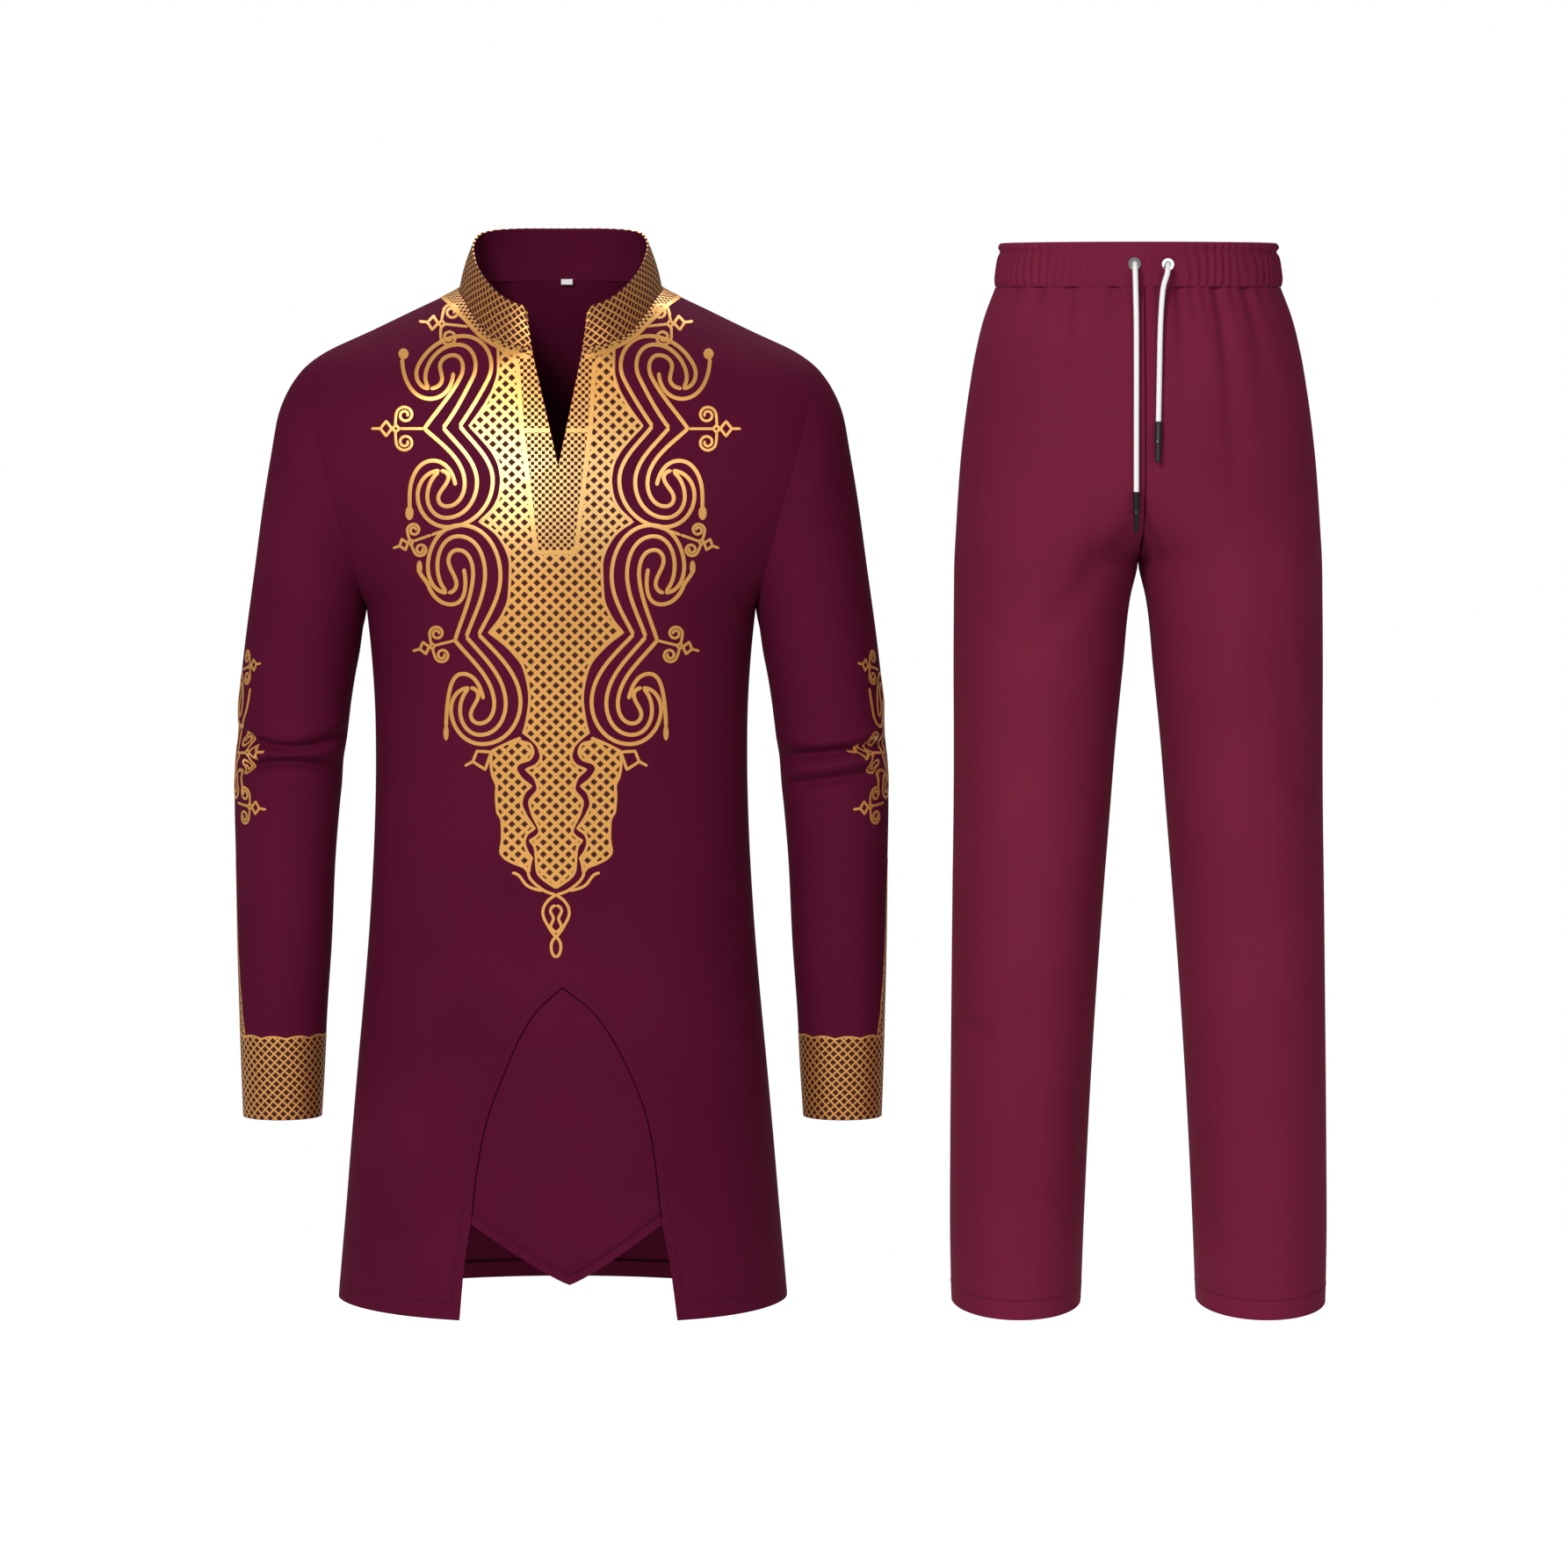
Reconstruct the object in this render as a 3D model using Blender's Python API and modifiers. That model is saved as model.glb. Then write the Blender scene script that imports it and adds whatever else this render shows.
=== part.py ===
"""Traditional outfit: a long tunic with a stand collar and an arched inset, and gathered drawstring trousers.

Metres, +Z up, the front faces -Y. The origin is the middle of the tunic's neck opening, where the collar meets the
shoulders. Both garments are hollow, as worn, and each piece that is cut or sewn on is one object. Right and left
are the wearer's, so the right side is at -X.
"""

import math

import bpy
import numpy as np
from mathutils import Vector

OUTFIT = "traditional_outfit"
SIDES = {"right": -1, "left": 1}
FRONT, BACK = -1, 1

# Cloth thickness, and the room at a seam
BODY_CLOTH = 0.0016
COLLAR_CLOTH = 0.0022
TROUSER_CLOTH = 0.0016
SEAM_GAP = 0.0003
SHARPEST_SEAM = 0.5

# How finely the pieces are built
HALF_COLUMNS = 9
ARMHOLE_STEPS = 10
INSET_COLUMNS = 6
LEG_COLUMNS = {FRONT: 12, BACK: 10}
GATHERS = 64

# Colours of the cloth, the foil and the small parts (linear)
WINE = (0.095, 0.012, 0.030)
WARM_WINE = (0.165, 0.020, 0.045)
GOLD = (0.60, 0.33, 0.07)
SILVER = (0.75, 0.75, 0.74)
WHITE = (0.85, 0.85, 0.84)
BLACK = (0.02, 0.02, 0.02)


def table(columns, *rows):
    """A short table, as a dictionary of its named columns."""
    return {name: np.array(values) for name, values in zip(columns.split(), zip(*rows))}


# The tunic's rings from the armpits to the hem
BODY = table(
    "height half_width front back",
    (-0.2820, 0.1767, 0.128, 0.116),
    (-0.3230, 0.1725, 0.126, 0.114),
    (-0.3710, 0.1694, 0.121, 0.110),
    (-0.4190, 0.1687, 0.117, 0.108),
    (-0.4910, 0.1704, 0.115, 0.109),
    (-0.5390, 0.1729, 0.116, 0.112),
    (-0.5880, 0.1763, 0.119, 0.116),
    (-0.6360, 0.1804, 0.122, 0.120),
    (-0.6840, 0.1849, 0.126, 0.124),
    (-0.7330, 0.1894, 0.130, 0.128),
    (-0.7810, 0.1936, 0.133, 0.132),
    (-0.8300, 0.1977, 0.136, 0.135),
    (-0.8780, 0.2019, 0.138, 0.138),
    (-0.9180, 0.2052, 0.140, 0.140),
)
ARMPIT = BODY["height"][0]
HEM = BODY["height"][-1]

# Half the arch cut into the front, and the slit below it
ARCH = table(
    "height half_width",
    (-0.6185, 0.0000),
    (-0.6390, 0.0240),
    (-0.6620, 0.0400),
    (-0.6890, 0.0533),
    (-0.7380, 0.0717),
    (-0.7800, 0.0796),
    (-0.8260, 0.0850),
    (-0.8600, 0.0912),
    (-0.9180, 0.0978),
)
ARCH_TOP = ARCH["height"][0]
INSET_CORNER = -0.8310
INSET_POINT = -0.8837
APEX_DROP = 0.0018
APEX_ROOM = 0.0006
BODY_ROWS = (-0.2820, -0.335, -0.390, -0.450, -0.515, -0.570, ARCH_TOP)
ARCH_ROWS = (-0.6390, -0.6620, -0.6890, -0.7380, -0.7800, -0.8260)
HEM_ROWS = (-0.8700, HEM)

# How far the front's middle hangs off centre, towards the left side
HANG = table(
    "height aside",
    (-0.0500, 0.0000),
    (-0.1523, 0.0020),
    (-0.3000, 0.0000),
    (-0.5600, -0.0010),
    (-0.6185, 0.0046),
    (-0.6890, 0.0092),
    (-0.8300, 0.0095),
    (-0.9180, 0.0120),
)

# The middle of the front above the armpits, with the V slit's tip, and the middle of the back
FRONT_LINE = table(
    "height depth",
    (-0.0485, -0.0830),
    (-0.0830, -0.0962),
    (-0.1180, -0.1085),
    (-0.1523, -0.1180),
    (-0.2170, -0.1262),
    (-0.2820, -0.1280),
)
SLIT_TIP = -0.1523
SLIT_ROWS = (-0.0830, -0.1180, SLIT_TIP)
CHEST_ROWS = (-0.2170,)
BACK_LINE = table(
    "height depth",
    (0.0120, 0.0670),
    (-0.0300, 0.0830),
    (-0.0800, 0.0990),
    (-0.1300, 0.1090),
    (-0.1800, 0.1145),
    (-0.2300, 0.1165),
    (-0.2820, 0.1160),
)
BACK_ROWS = (-0.0300, -0.0800, -0.1300, -0.1800, -0.2300)

# Half the collar, from the front corner round to the middle of the back: its seam and its top edge
COLLAR = table(
    "seam_across seam_depth seam_height top_across top_depth top_height",
    (0.0226, -0.0830, -0.0485, 0.0262, -0.0750, -0.0122),
    (0.0420, -0.0775, -0.0450, 0.0400, -0.0695, -0.0080),
    (0.0590, -0.0670, -0.0385, 0.0545, -0.0585, 0.0010),
    (0.0745, -0.0460, -0.0225, 0.0670, -0.0405, 0.0135),
    (0.0860, -0.0180, -0.0055, 0.0762, -0.0190, 0.0285),
    (0.0920, 0.0120, 0.0045, 0.0798, 0.0060, 0.0435),
    (0.0850, 0.0380, 0.0095, 0.0745, 0.0300, 0.0545),
    (0.0660, 0.0550, 0.0115, 0.0555, 0.0480, 0.0590),
    (0.0350, 0.0640, 0.0120, 0.0290, 0.0575, 0.0600),
    (0.0000, 0.0670, 0.0120, 0.0000, 0.0610, 0.0600),
)
COLLAR_SHOULDER = 5
COLLAR_ROWS = 3
COLLAR_BULGE = 0.0015
COLLAR_CORNER_DROP = 0.004

# The shoulder seam from the collar to the sleeve
SHOULDER = table(
    "across depth height",
    (0.0920, 0.0120, 0.0045),
    (0.1089, 0.0115, -0.0046),
    (0.1296, 0.0105, -0.0141),
    (0.1702, 0.0080, -0.0331),
    (0.2120, 0.0055, -0.0522),
    (0.2262, 0.0045, -0.0617),
    (0.2342, 0.0040, -0.0690),
)

# The sleeve's rings from the armhole to the end, each by its outer and inner point
SLEEVE = table(
    "outer outer_height inner inner_height middle front back",
    (0.2342, -0.0690, 0.1767, -0.2820, 0.0040, 0.0660, 0.0700),
    (0.2450, -0.0840, 0.1767, -0.2850, 0.0036, 0.0662, 0.0700),
    (0.2557, -0.1085, 0.1772, -0.2885, 0.0030, 0.0665, 0.0700),
    (0.2624, -0.1440, 0.1778, -0.2920, 0.0024, 0.0665, 0.0695),
    (0.2700, -0.1900, 0.1787, -0.2965, 0.0018, 0.0660, 0.0690),
    (0.2775, -0.2450, 0.1800, -0.3020, 0.0012, 0.0650, 0.0680),
    (0.2862, -0.3080, 0.1832, -0.3240, 0.0006, 0.0630, 0.0660),
    (0.2905, -0.3440, 0.1878, -0.3480, 0.0000, 0.0610, 0.0640),
    (0.2937, -0.3740, 0.1918, -0.3740, 0.0000, 0.0595, 0.0620),
    (0.2938, -0.3890, 0.1936, -0.3890, 0.0000, 0.0588, 0.0612),
    (0.2942, -0.4000, 0.1950, -0.4000, 0.0000, 0.0582, 0.0606),
    (0.2952, -0.4100, 0.1966, -0.4100, 0.0000, 0.0578, 0.0600),
    (0.2965, -0.4200, 0.1982, -0.4200, 0.0000, 0.0573, 0.0594),
    (0.2972, -0.4300, 0.1990, -0.4300, 0.0000, 0.0568, 0.0588),
    (0.2975, -0.4430, 0.1999, -0.4430, 0.0000, 0.0560, 0.0580),
    (0.2976, -0.4670, 0.2024, -0.4670, 0.0000, 0.0545, 0.0562),
    (0.2968, -0.5150, 0.2064, -0.5150, 0.0000, 0.0520, 0.0535),
    (0.2960, -0.5880, 0.2099, -0.5880, 0.0000, 0.0480, 0.0490),
    (0.2946, -0.6500, 0.2143, -0.6500, 0.0000, 0.0440, 0.0445),
    (0.2931, -0.7050, 0.2172, -0.7050, 0.0000, 0.0405, 0.0405),
    (0.2916, -0.7485, 0.2200, -0.7485, 0.0000, 0.0380, 0.0380),
)

# Folds at the elbow: heights at the outer side, middle and inner side, how far they rise, and their half height
ELBOW_FOLDS = {
    "right": table(
        "face outer middle inner rise reach",
        (FRONT, -0.4030, -0.4150, -0.4000, 0.0045, 0.0070),
        (FRONT, -0.4370, -0.4265, -0.4330, -0.0060, 0.0060),
        (BACK, -0.3960, -0.4080, -0.4060, 0.0035, 0.0080),
        (BACK, -0.4250, -0.4220, -0.4290, -0.0045, 0.0070),
    ),
    "left": table(
        "face outer middle inner rise reach",
        (FRONT, -0.3990, -0.4090, -0.4130, 0.0045, 0.0065),
        (FRONT, -0.4280, -0.4330, -0.4410, -0.0055, 0.0070),
        (BACK, -0.4020, -0.4110, -0.4000, 0.0035, 0.0080),
        (BACK, -0.4210, -0.4270, -0.4240, -0.0045, 0.0070),
    ),
}

# The trousers' middle, and how far they lean to their left for each metre down
TROUSERS_X = 0.5226
TROUSERS_LEAN = 0.0045

# The trousers' rings from the waist seam to the hem. The gap is half the room between the legs, and the seam is
# the side seam's angle towards the front
LEG = table(
    "height half_width gap front back seam",
    (0.0054, 0.1290, 0.0000, 0.1000, 0.1000, 18.0),
    (-0.0204, 0.1388, 0.0000, 0.1080, 0.1080, 21.0),
    (-0.0522, 0.1468, 0.0000, 0.1130, 0.1160, 22.0),
    (-0.0839, 0.1524, 0.0000, 0.1175, 0.1220, 22.0),
    (-0.1157, 0.1569, 0.0000, 0.1200, 0.1270, 21.0),
    (-0.1475, 0.1605, 0.0000, 0.1205, 0.1300, 20.0),
    (-0.1793, 0.1630, 0.0000, 0.1190, 0.1290, 20.0),
    (-0.2112, 0.1650, 0.0000, 0.1150, 0.1240, 22.0),
    (-0.2423, 0.1667, 0.0000, 0.1100, 0.1170, 26.0),
    (-0.2750, 0.1672, 0.0072, 0.1060, 0.1110, 30.0),
    (-0.3389, 0.1677, 0.0140, 0.1010, 0.1040, 28.0),
    (-0.4029, 0.1676, 0.0204, 0.0960, 0.0980, 10.0),
    (-0.4671, 0.1680, 0.0256, 0.0920, 0.0930, 3.0),
    (-0.5313, 0.1690, 0.0308, 0.0890, 0.0890, 0.0),
    (-0.6601, 0.1706, 0.0401, 0.0850, 0.0860, 0.0),
    (-0.7893, 0.1719, 0.0474, 0.0835, 0.0840, 0.0),
    (-0.8541, 0.1722, 0.0503, 0.0830, 0.0830, 0.0),
    (-0.9170, 0.1712, 0.0527, 0.0825, 0.0825, 0.0),
)
WAIST_SEAM = LEG["height"][0]
CROTCH = -0.2423
RISE_CURVE = 6.0
HEM_DIP = 0.0075
HIP_ROWS = (WAIST_SEAM, -0.012, -0.035, -0.065, -0.100, -0.140, -0.177, -0.206, -0.227, CROTCH)
LEG_ROWS = (-0.275, -0.315, -0.360, -0.415, -0.480, -0.550, -0.625, -0.700, -0.775, -0.850, -0.917)

# Folds that fall from the waist seam: place across at the seam, depth, half width and length
WAIST_FOLDS = {
    FRONT: table(
        "across depth reach length",
        (-0.0926, 0.0022, 0.010, 0.060),
        (-0.0659, 0.0045, 0.010, 0.140),
        (-0.0274, 0.0030, 0.010, 0.110),
        (0.0310, 0.0035, 0.009, 0.120),
        (0.0653, 0.0045, 0.011, 0.260),
        (0.0928, 0.0030, 0.011, 0.150),
    ),
    BACK: table(
        "across depth reach length",
        (-0.0880, 0.0030, 0.011, 0.110),
        (-0.0520, 0.0040, 0.010, 0.170),
        (-0.0150, 0.0025, 0.010, 0.080),
        (0.0260, 0.0035, 0.010, 0.130),
        (0.0600, 0.0030, 0.010, 0.090),
        (0.0900, 0.0040, 0.012, 0.190),
    ),
}

# The waistband's rings: how far each swells and how much of the gathers it shows
BAND = table(
    "height half_width depth swell gather",
    (0.0453, 0.1248, 0.0965, -0.0004, 0.35),
    (0.0425, 0.1252, 0.0968, 0.0006, 0.90),
    (0.0372, 0.1258, 0.0973, -0.0010, 0.35),
    (0.0310, 0.1266, 0.0980, 0.0006, 1.00),
    (0.0150, 0.1284, 0.0994, 0.0010, 1.00),
    (0.0057, 0.1292, 0.1000, -0.0002, 0.60),
)
GATHER_DEPTH = 0.0011
BAND_CLOTH = 0.0030

# Eyelets in the front of the band, the cords that hang from them, and their tips
EYELETS = {"right": (0.5138, 0.0257), "left": (0.5434, 0.0249)}
EYELET_CALM = 0.012
EYELET_RADIUS, EYELET_HOLE, EYELET_THICKNESS = 0.0056, 0.00285, 0.0014
CORD_DIAMETER = 0.0050
CORD_ROUTES = {
    "right": table(
        "across height off",
        (0.5138, 0.0257, 0.0008),
        (0.5138, 0.0260, 0.0040),
        (0.5138, 0.0247, 0.0075),
        (0.5138, 0.0212, 0.0103),
        (0.5139, 0.0160, 0.0112),
        (0.5143, 0.0024, 0.0095),
        (0.5148, -0.0300, 0.0052),
        (0.5147, -0.0850, 0.0044),
        (0.5147, -0.1350, 0.0044),
        (0.5149, -0.1762, 0.0044),
    ),
    "left": table(
        "across height off",
        (0.5434, 0.0249, 0.0008),
        (0.5435, 0.0252, 0.0040),
        (0.5434, 0.0239, 0.0075),
        (0.5429, 0.0204, 0.0103),
        (0.5419, 0.0152, 0.0112),
        (0.5385, 0.0024, 0.0095),
        (0.5361, -0.0300, 0.0052),
        (0.5350, -0.0750, 0.0044),
        (0.5342, -0.1141, 0.0044),
    ),
}
CORD_POINTS_A_SPAN = 3
TIP_PROFILE = table(
    "radius down",
    (0.0024, 0.0000),
    (0.0031, 0.0006),
    (0.0031, 0.0165),
    (0.0034, 0.0185),
    (0.0025, 0.0200),
    (0.0023, 0.0350),
    (0.0012, 0.0362),
)

# The blank label inside the back of the neck
LABEL_PLACE = (0.0037, 0.0632, 0.0112)
LABEL_SIZE = (0.0104, 0.0008, 0.0050)


def read(source, column, height):
    """A column's value at a height, on a smooth curve through the table's rows."""
    places = -source["height"]
    values = source[column]
    slopes = np.gradient(values, places)
    at = min(max(-height, places[0]), places[-1])
    row = min(np.searchsorted(places, at, side="right") - 1, len(places) - 2)
    span = places[row + 1] - places[row]
    t = (at - places[row]) / span
    start = (2 * t**3 - 3 * t**2 + 1) * values[row] + (t**3 - 2 * t**2 + t) * span * slopes[row]
    end = (3 * t**2 - 2 * t**3) * values[row + 1] + (t**3 - t**2) * span * slopes[row + 1]
    return start + end


def spaced(points, count):
    """As many points, evenly spaced along a curve that is given by many."""
    points = np.array(points)
    lengths = np.concatenate([[0], np.cumsum(np.linalg.norm(np.diff(points, axis=0), axis=1))])
    places = np.linspace(0, lengths[-1], count)
    return np.stack([np.interp(places, lengths, points[:, axis]) for axis in range(3)], axis=1)


def coons(inner, outer, top, bottom):
    """A patch of points between four edges: inner and outer run down, top and bottom run outwards."""
    down = np.linspace(0, 1, len(inner))[:, None, None]
    out = np.linspace(0, 1, len(top))[None, :, None]
    across = (1 - out) * inner[:, None] + out * outer[:, None]
    along = (1 - down) * top[None] + down * bottom[None]
    upper = (1 - out) * top[0] + out * top[-1]
    lower = (1 - out) * bottom[0] + out * bottom[-1]
    return across + along - (1 - down) * upper - down * lower


def body_point(height, angle, face):
    """A point of the tunic's ring: angle 0 is the side and a quarter turn the middle."""
    half = read(BODY, "half_width", height)
    depth = read(BODY, "front" if face == FRONT else "back", height)
    return (half * math.cos(angle), face * depth * math.sin(angle), height)


def edge_angle(height, across):
    """The ring angle at which the tunic's body is this far from the middle."""
    half = read(BODY, "half_width", height)
    return math.acos(across / half)


def body_row(height, across, face, columns):
    """Half a ring, from this far off the middle out to the side seam."""
    angles = np.linspace(edge_angle(height, across), 0, 80)
    return spaced([body_point(height, angle, face) for angle in angles], columns + 1)


def hung(points, side):
    """The points on their side of the body, with the front's middle hanging as it does off centre."""
    placed = points * (side, 1, 1)
    for point in placed.reshape(-1, 3):
        half = read(BODY, "half_width", point[2])
        if point[1] < 0 and abs(point[0]) < half:
            point[0] += read(HANG, "aside", point[2]) * (1 - (point[0] / half) ** 2)
    return placed


def collar_points(part, first, last):
    """Points of the collar's seam or top edge between two of the table's rows."""
    columns = [COLLAR[part + "_" + name][first:last] for name in ("across", "depth", "height")]
    return np.stack(columns, axis=1)


def shoulder_seam():
    seam = np.stack([SHOULDER[name] for name in ("across", "depth", "height")], axis=1)
    return spaced(seam, HALF_COLUMNS + 1)


def sleeve_ring(row, angles):
    """A ring of the sleeve: angle 0 is its outer point, half a turn its inner point, by way of the front."""
    outer = np.array((SLEEVE["outer"][row], SLEEVE["middle"][row], SLEEVE["outer_height"][row]))
    inner = np.array((SLEEVE["inner"][row], 0.0, SLEEVE["inner_height"][row]))
    points = []
    for angle in angles:
        depth = SLEEVE["front"][row] if math.sin(angle) > 0 else SLEEVE["back"][row]
        point = (outer + inner) / 2 + (outer - inner) / 2 * math.cos(angle)
        points.append(point - (0, depth * math.sin(angle), 0))
    return np.array(points)


def armhole(face):
    """The armhole from the shoulder down to the armpit, at the front or the back."""
    angles = np.linspace(0, math.pi, ARMHOLE_STEPS + 1) * -face
    return sleeve_ring(0, angles)


def upper_front():
    neck = collar_points("seam", 0, COLLAR_SHOULDER + 1)[::-1]
    corner = COLLAR["seam_across"][0]
    drop = COLLAR["seam_height"][0] - SLIT_TIP
    slit = [(corner * (z - SLIT_TIP) / drop, read(FRONT_LINE, "depth", z), z) for z in SLIT_ROWS]
    chest = [(0, read(FRONT_LINE, "depth", z), z) for z in CHEST_ROWS]
    bottom = body_row(ARMPIT, 0, FRONT, HALF_COLUMNS)
    inner = np.concatenate([neck, slit, chest, bottom[:1]])
    return coons(inner, armhole(FRONT), shoulder_seam(), bottom)


def upper_back():
    neck = collar_points("seam", COLLAR_SHOULDER, None)
    middle = [(0, read(BACK_LINE, "depth", z), z) for z in BACK_ROWS]
    bottom = body_row(ARMPIT, 0, BACK, HALF_COLUMNS)
    inner = np.concatenate([neck, middle, bottom[:1]])
    return coons(inner, armhole(BACK), shoulder_seam(), bottom)


def front_grids():
    """The front panel's halves. Their edges part at the V slit and at the arch."""
    rows = [body_row(z, 0, FRONT, HALF_COLUMNS) for z in BODY_ROWS]
    for z in ARCH_ROWS + HEM_ROWS:
        rows.append(body_row(z, read(ARCH, "half_width", z), FRONT, HALF_COLUMNS))
    half = np.concatenate([upper_front()[:-1], rows])
    return [hung(half, side) for side in SIDES.values()]


def back_grids():
    heights = BODY_ROWS + ARCH_ROWS + HEM_ROWS
    rows = [body_row(z, 0, BACK, HALF_COLUMNS) for z in heights]
    half = np.concatenate([upper_back()[:-1], rows])
    return [half * (side, 1, 1) for side in SIDES.values()]


def inset_row(height, across):
    """A row of the inset from one edge of the arch to the other."""
    half = body_row(height, 0, FRONT, HALF_COLUMNS * 8)
    inside = half[half[:, 0] < across - 0.0001]
    edge = np.array([body_point(height, edge_angle(height, across), FRONT)])
    half = spaced(np.concatenate([inside, edge]), INSET_COLUMNS // 2 + 1)
    half[-1] = edge[0]
    return np.concatenate([half[:0:-1] * (-1, 1, 1), half])


def inset_grid():
    spread = read(ARCH, "half_width", ARCH_ROWS[0]) / (ARCH_TOP - ARCH_ROWS[0])
    rows = [inset_row(ARCH_TOP - APEX_DROP, APEX_DROP * spread - APEX_ROOM)]
    rows += [inset_row(z, read(ARCH, "half_width", z)) for z in ARCH_ROWS]
    last = rows[-1]
    beside = np.abs(last[:, 0]) / last[-1, 0]
    for share in (0.5, 1.0):
        row = last.copy()
        lowest = INSET_POINT + (INSET_CORNER - INSET_POINT) * beside**1.15
        row[:, 2] += share * (lowest - last[:, 2])
        row[:, 1] -= share * 0.0015
        rows.append(row)
    return hung(np.array(rows), 1)


def collar_grid():
    """The stand collar from its right front corner round the back to its left one."""
    seam = collar_points("seam", 0, None)
    top = collar_points("top", 0, None)
    top[0] -= (0, 0, COLLAR_CORNER_DROP)
    rows = []
    for share in np.linspace(0, 1, COLLAR_ROWS + 1):
        half = seam + (top - seam) * share
        outward = half * (1, 1, 0) / np.linalg.norm(half[:, :2], axis=1)[:, None]
        half = half + outward * COLLAR_BULGE * math.sin(math.pi * share)
        rows.append(np.concatenate([half * (-1, 1, 1), half[-2::-1]]))
    return np.array(rows)


def fold_rise(folds, angle, height):
    """How far the elbow's folds lift the sleeve at this angle and height."""
    face = FRONT if math.sin(angle) > 0 else BACK
    inward = (1 - math.cos(angle)) / 2
    rise = 0
    for row in range(len(folds["face"])):
        bend = folds["middle"][row] - (folds["outer"][row] + folds["inner"][row]) / 2
        line = folds["outer"][row] + (folds["inner"][row] - folds["outer"][row]) * inward
        line += 4 * bend * inward * (1 - inward)
        if folds["face"][row] == face:
            near = math.exp(-(((height - line) / folds["reach"][row]) ** 2))
            rise += folds["rise"][row] * near * abs(math.sin(angle)) ** 0.6
    return rise


def sleeve_grid(name):
    angles = np.linspace(0, 2 * math.pi, 2 * ARMHOLE_STEPS + 1)
    rows = []
    for row in range(len(SLEEVE["outer"])):
        ring = sleeve_ring(row, angles)
        middle = ring[:-1].mean(axis=0)
        for point, angle in zip(ring, angles):
            outward = (point - middle) / np.linalg.norm(point - middle)
            point += outward * fold_rise(ELBOW_FOLDS[name], angle, point[2])
        rows.append(ring * (SIDES[name], 1, 1))
    return np.array(rows)


def leg_ring(height):
    """A trouser ring's middle across, half width, and how far it turns before it meets the other leg."""
    half = read(LEG, "half_width", height)
    if height <= CROTCH:
        gap = read(LEG, "gap", height)
        return (half + gap) / 2, (half - gap) / 2, math.pi
    fall = (WAIST_SEAM - height) / (WAIST_SEAM - CROTCH)
    turn = math.pi / 2 * (1 + fall**RISE_CURVE)
    width = half / (1 - math.cos(turn))
    return half - width, width, turn


def waist_fold(face, across, height):
    """How deep the folds below the waist are here."""
    folds = WAIST_FOLDS[face]
    flare = read(LEG, "half_width", height) / LEG["half_width"][0]
    down = WAIST_SEAM - height
    near = np.exp(-(((across - folds["across"] * flare) / (folds["reach"] * flare)) ** 2))
    fade = np.clip(1 - down / folds["length"], 0, 1)
    return float(np.sum(folds["depth"] * near * fade))


def leg_point(height, angle, side):
    """A point of a trouser leg: angle 0 is the outer side, and it grows by way of the front."""
    middle, width, _ = leg_ring(height)
    face = FRONT if angle > 0 else BACK
    depth = read(LEG, "front" if face == FRONT else "back", height)
    across = side * (middle + width * math.cos(angle))
    point = Vector((across, -depth * math.sin(angle), height))
    outward = Vector((side * math.cos(angle) / width, -math.sin(angle) / depth, 0)).normalized()
    sink = waist_fold(face, across, height) * min(1, abs(math.sin(angle)) * 2)
    lean = TROUSERS_LEAN * (WAIST_SEAM - height)
    dip = HEM_DIP * math.sin(angle) if height == LEG_ROWS[-1] else 0
    return point - outward * sink + Vector((TROUSERS_X + lean, 0, -dip))


def leg_grid(side, face):
    rows = []
    for height in HIP_ROWS + LEG_ROWS:
        seam = math.radians(read(LEG, "seam", height))
        turn = leg_ring(height)[2]
        angles = np.linspace(seam, turn * -face, 120)
        rows.append(spaced([leg_point(height, angle, side) for angle in angles], LEG_COLUMNS[face] + 1))
    return np.array(rows)


def flat_near_eyelets(x):
    """0 beside an eyelet, where the band lies flat, and 1 away from both."""
    nearest = min(abs(x - place[0]) for place in EYELETS.values())
    return min(1, max(0, (nearest - EYELET_RADIUS) / EYELET_CALM)) ** 2


def band_ring(row, outer):
    """A ring of the waistband: gathered outside, plain inside."""
    points = []
    for step in range(2 * GATHERS):
        angle = math.pi * step / GATHERS
        x = BAND["half_width"][row] * math.cos(angle)
        y = -BAND["depth"][row] * math.sin(angle)
        length = math.hypot(x, y)
        offset = -BAND_CLOTH
        if outer:
            uneven = 0.65 + 0.35 * math.sin(1.9 * step) * math.cos(0.37 * step)
            gather = GATHER_DEPTH * BAND["gather"][row] * uneven * (-1) ** step
            calm = flat_near_eyelets(x + TROUSERS_X) if y < 0 else 1
            offset = (BAND["swell"][row] + gather) * calm
        reach = 1 + offset / length
        points.append((x * reach + TROUSERS_X, y * reach, BAND["height"][row]))
    return points


def material(name, colour, roughness, metallic=0.0):
    made = bpy.data.materials.new(name)
    made.use_nodes = True
    shader = made.node_tree.nodes["Principled BSDF"]
    shader.inputs["Base Color"].default_value = (*colour, 1)
    shader.inputs["Roughness"].default_value = roughness
    shader.inputs["Metallic"].default_value = metallic
    return made


def add_object(name, data, colour, roughness, metallic=0.0):
    made = bpy.data.objects.new(name, data)
    bpy.data.collections[OUTFIT].objects.link(made)
    data.materials.append(material(name, colour, roughness, metallic))
    return made


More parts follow.
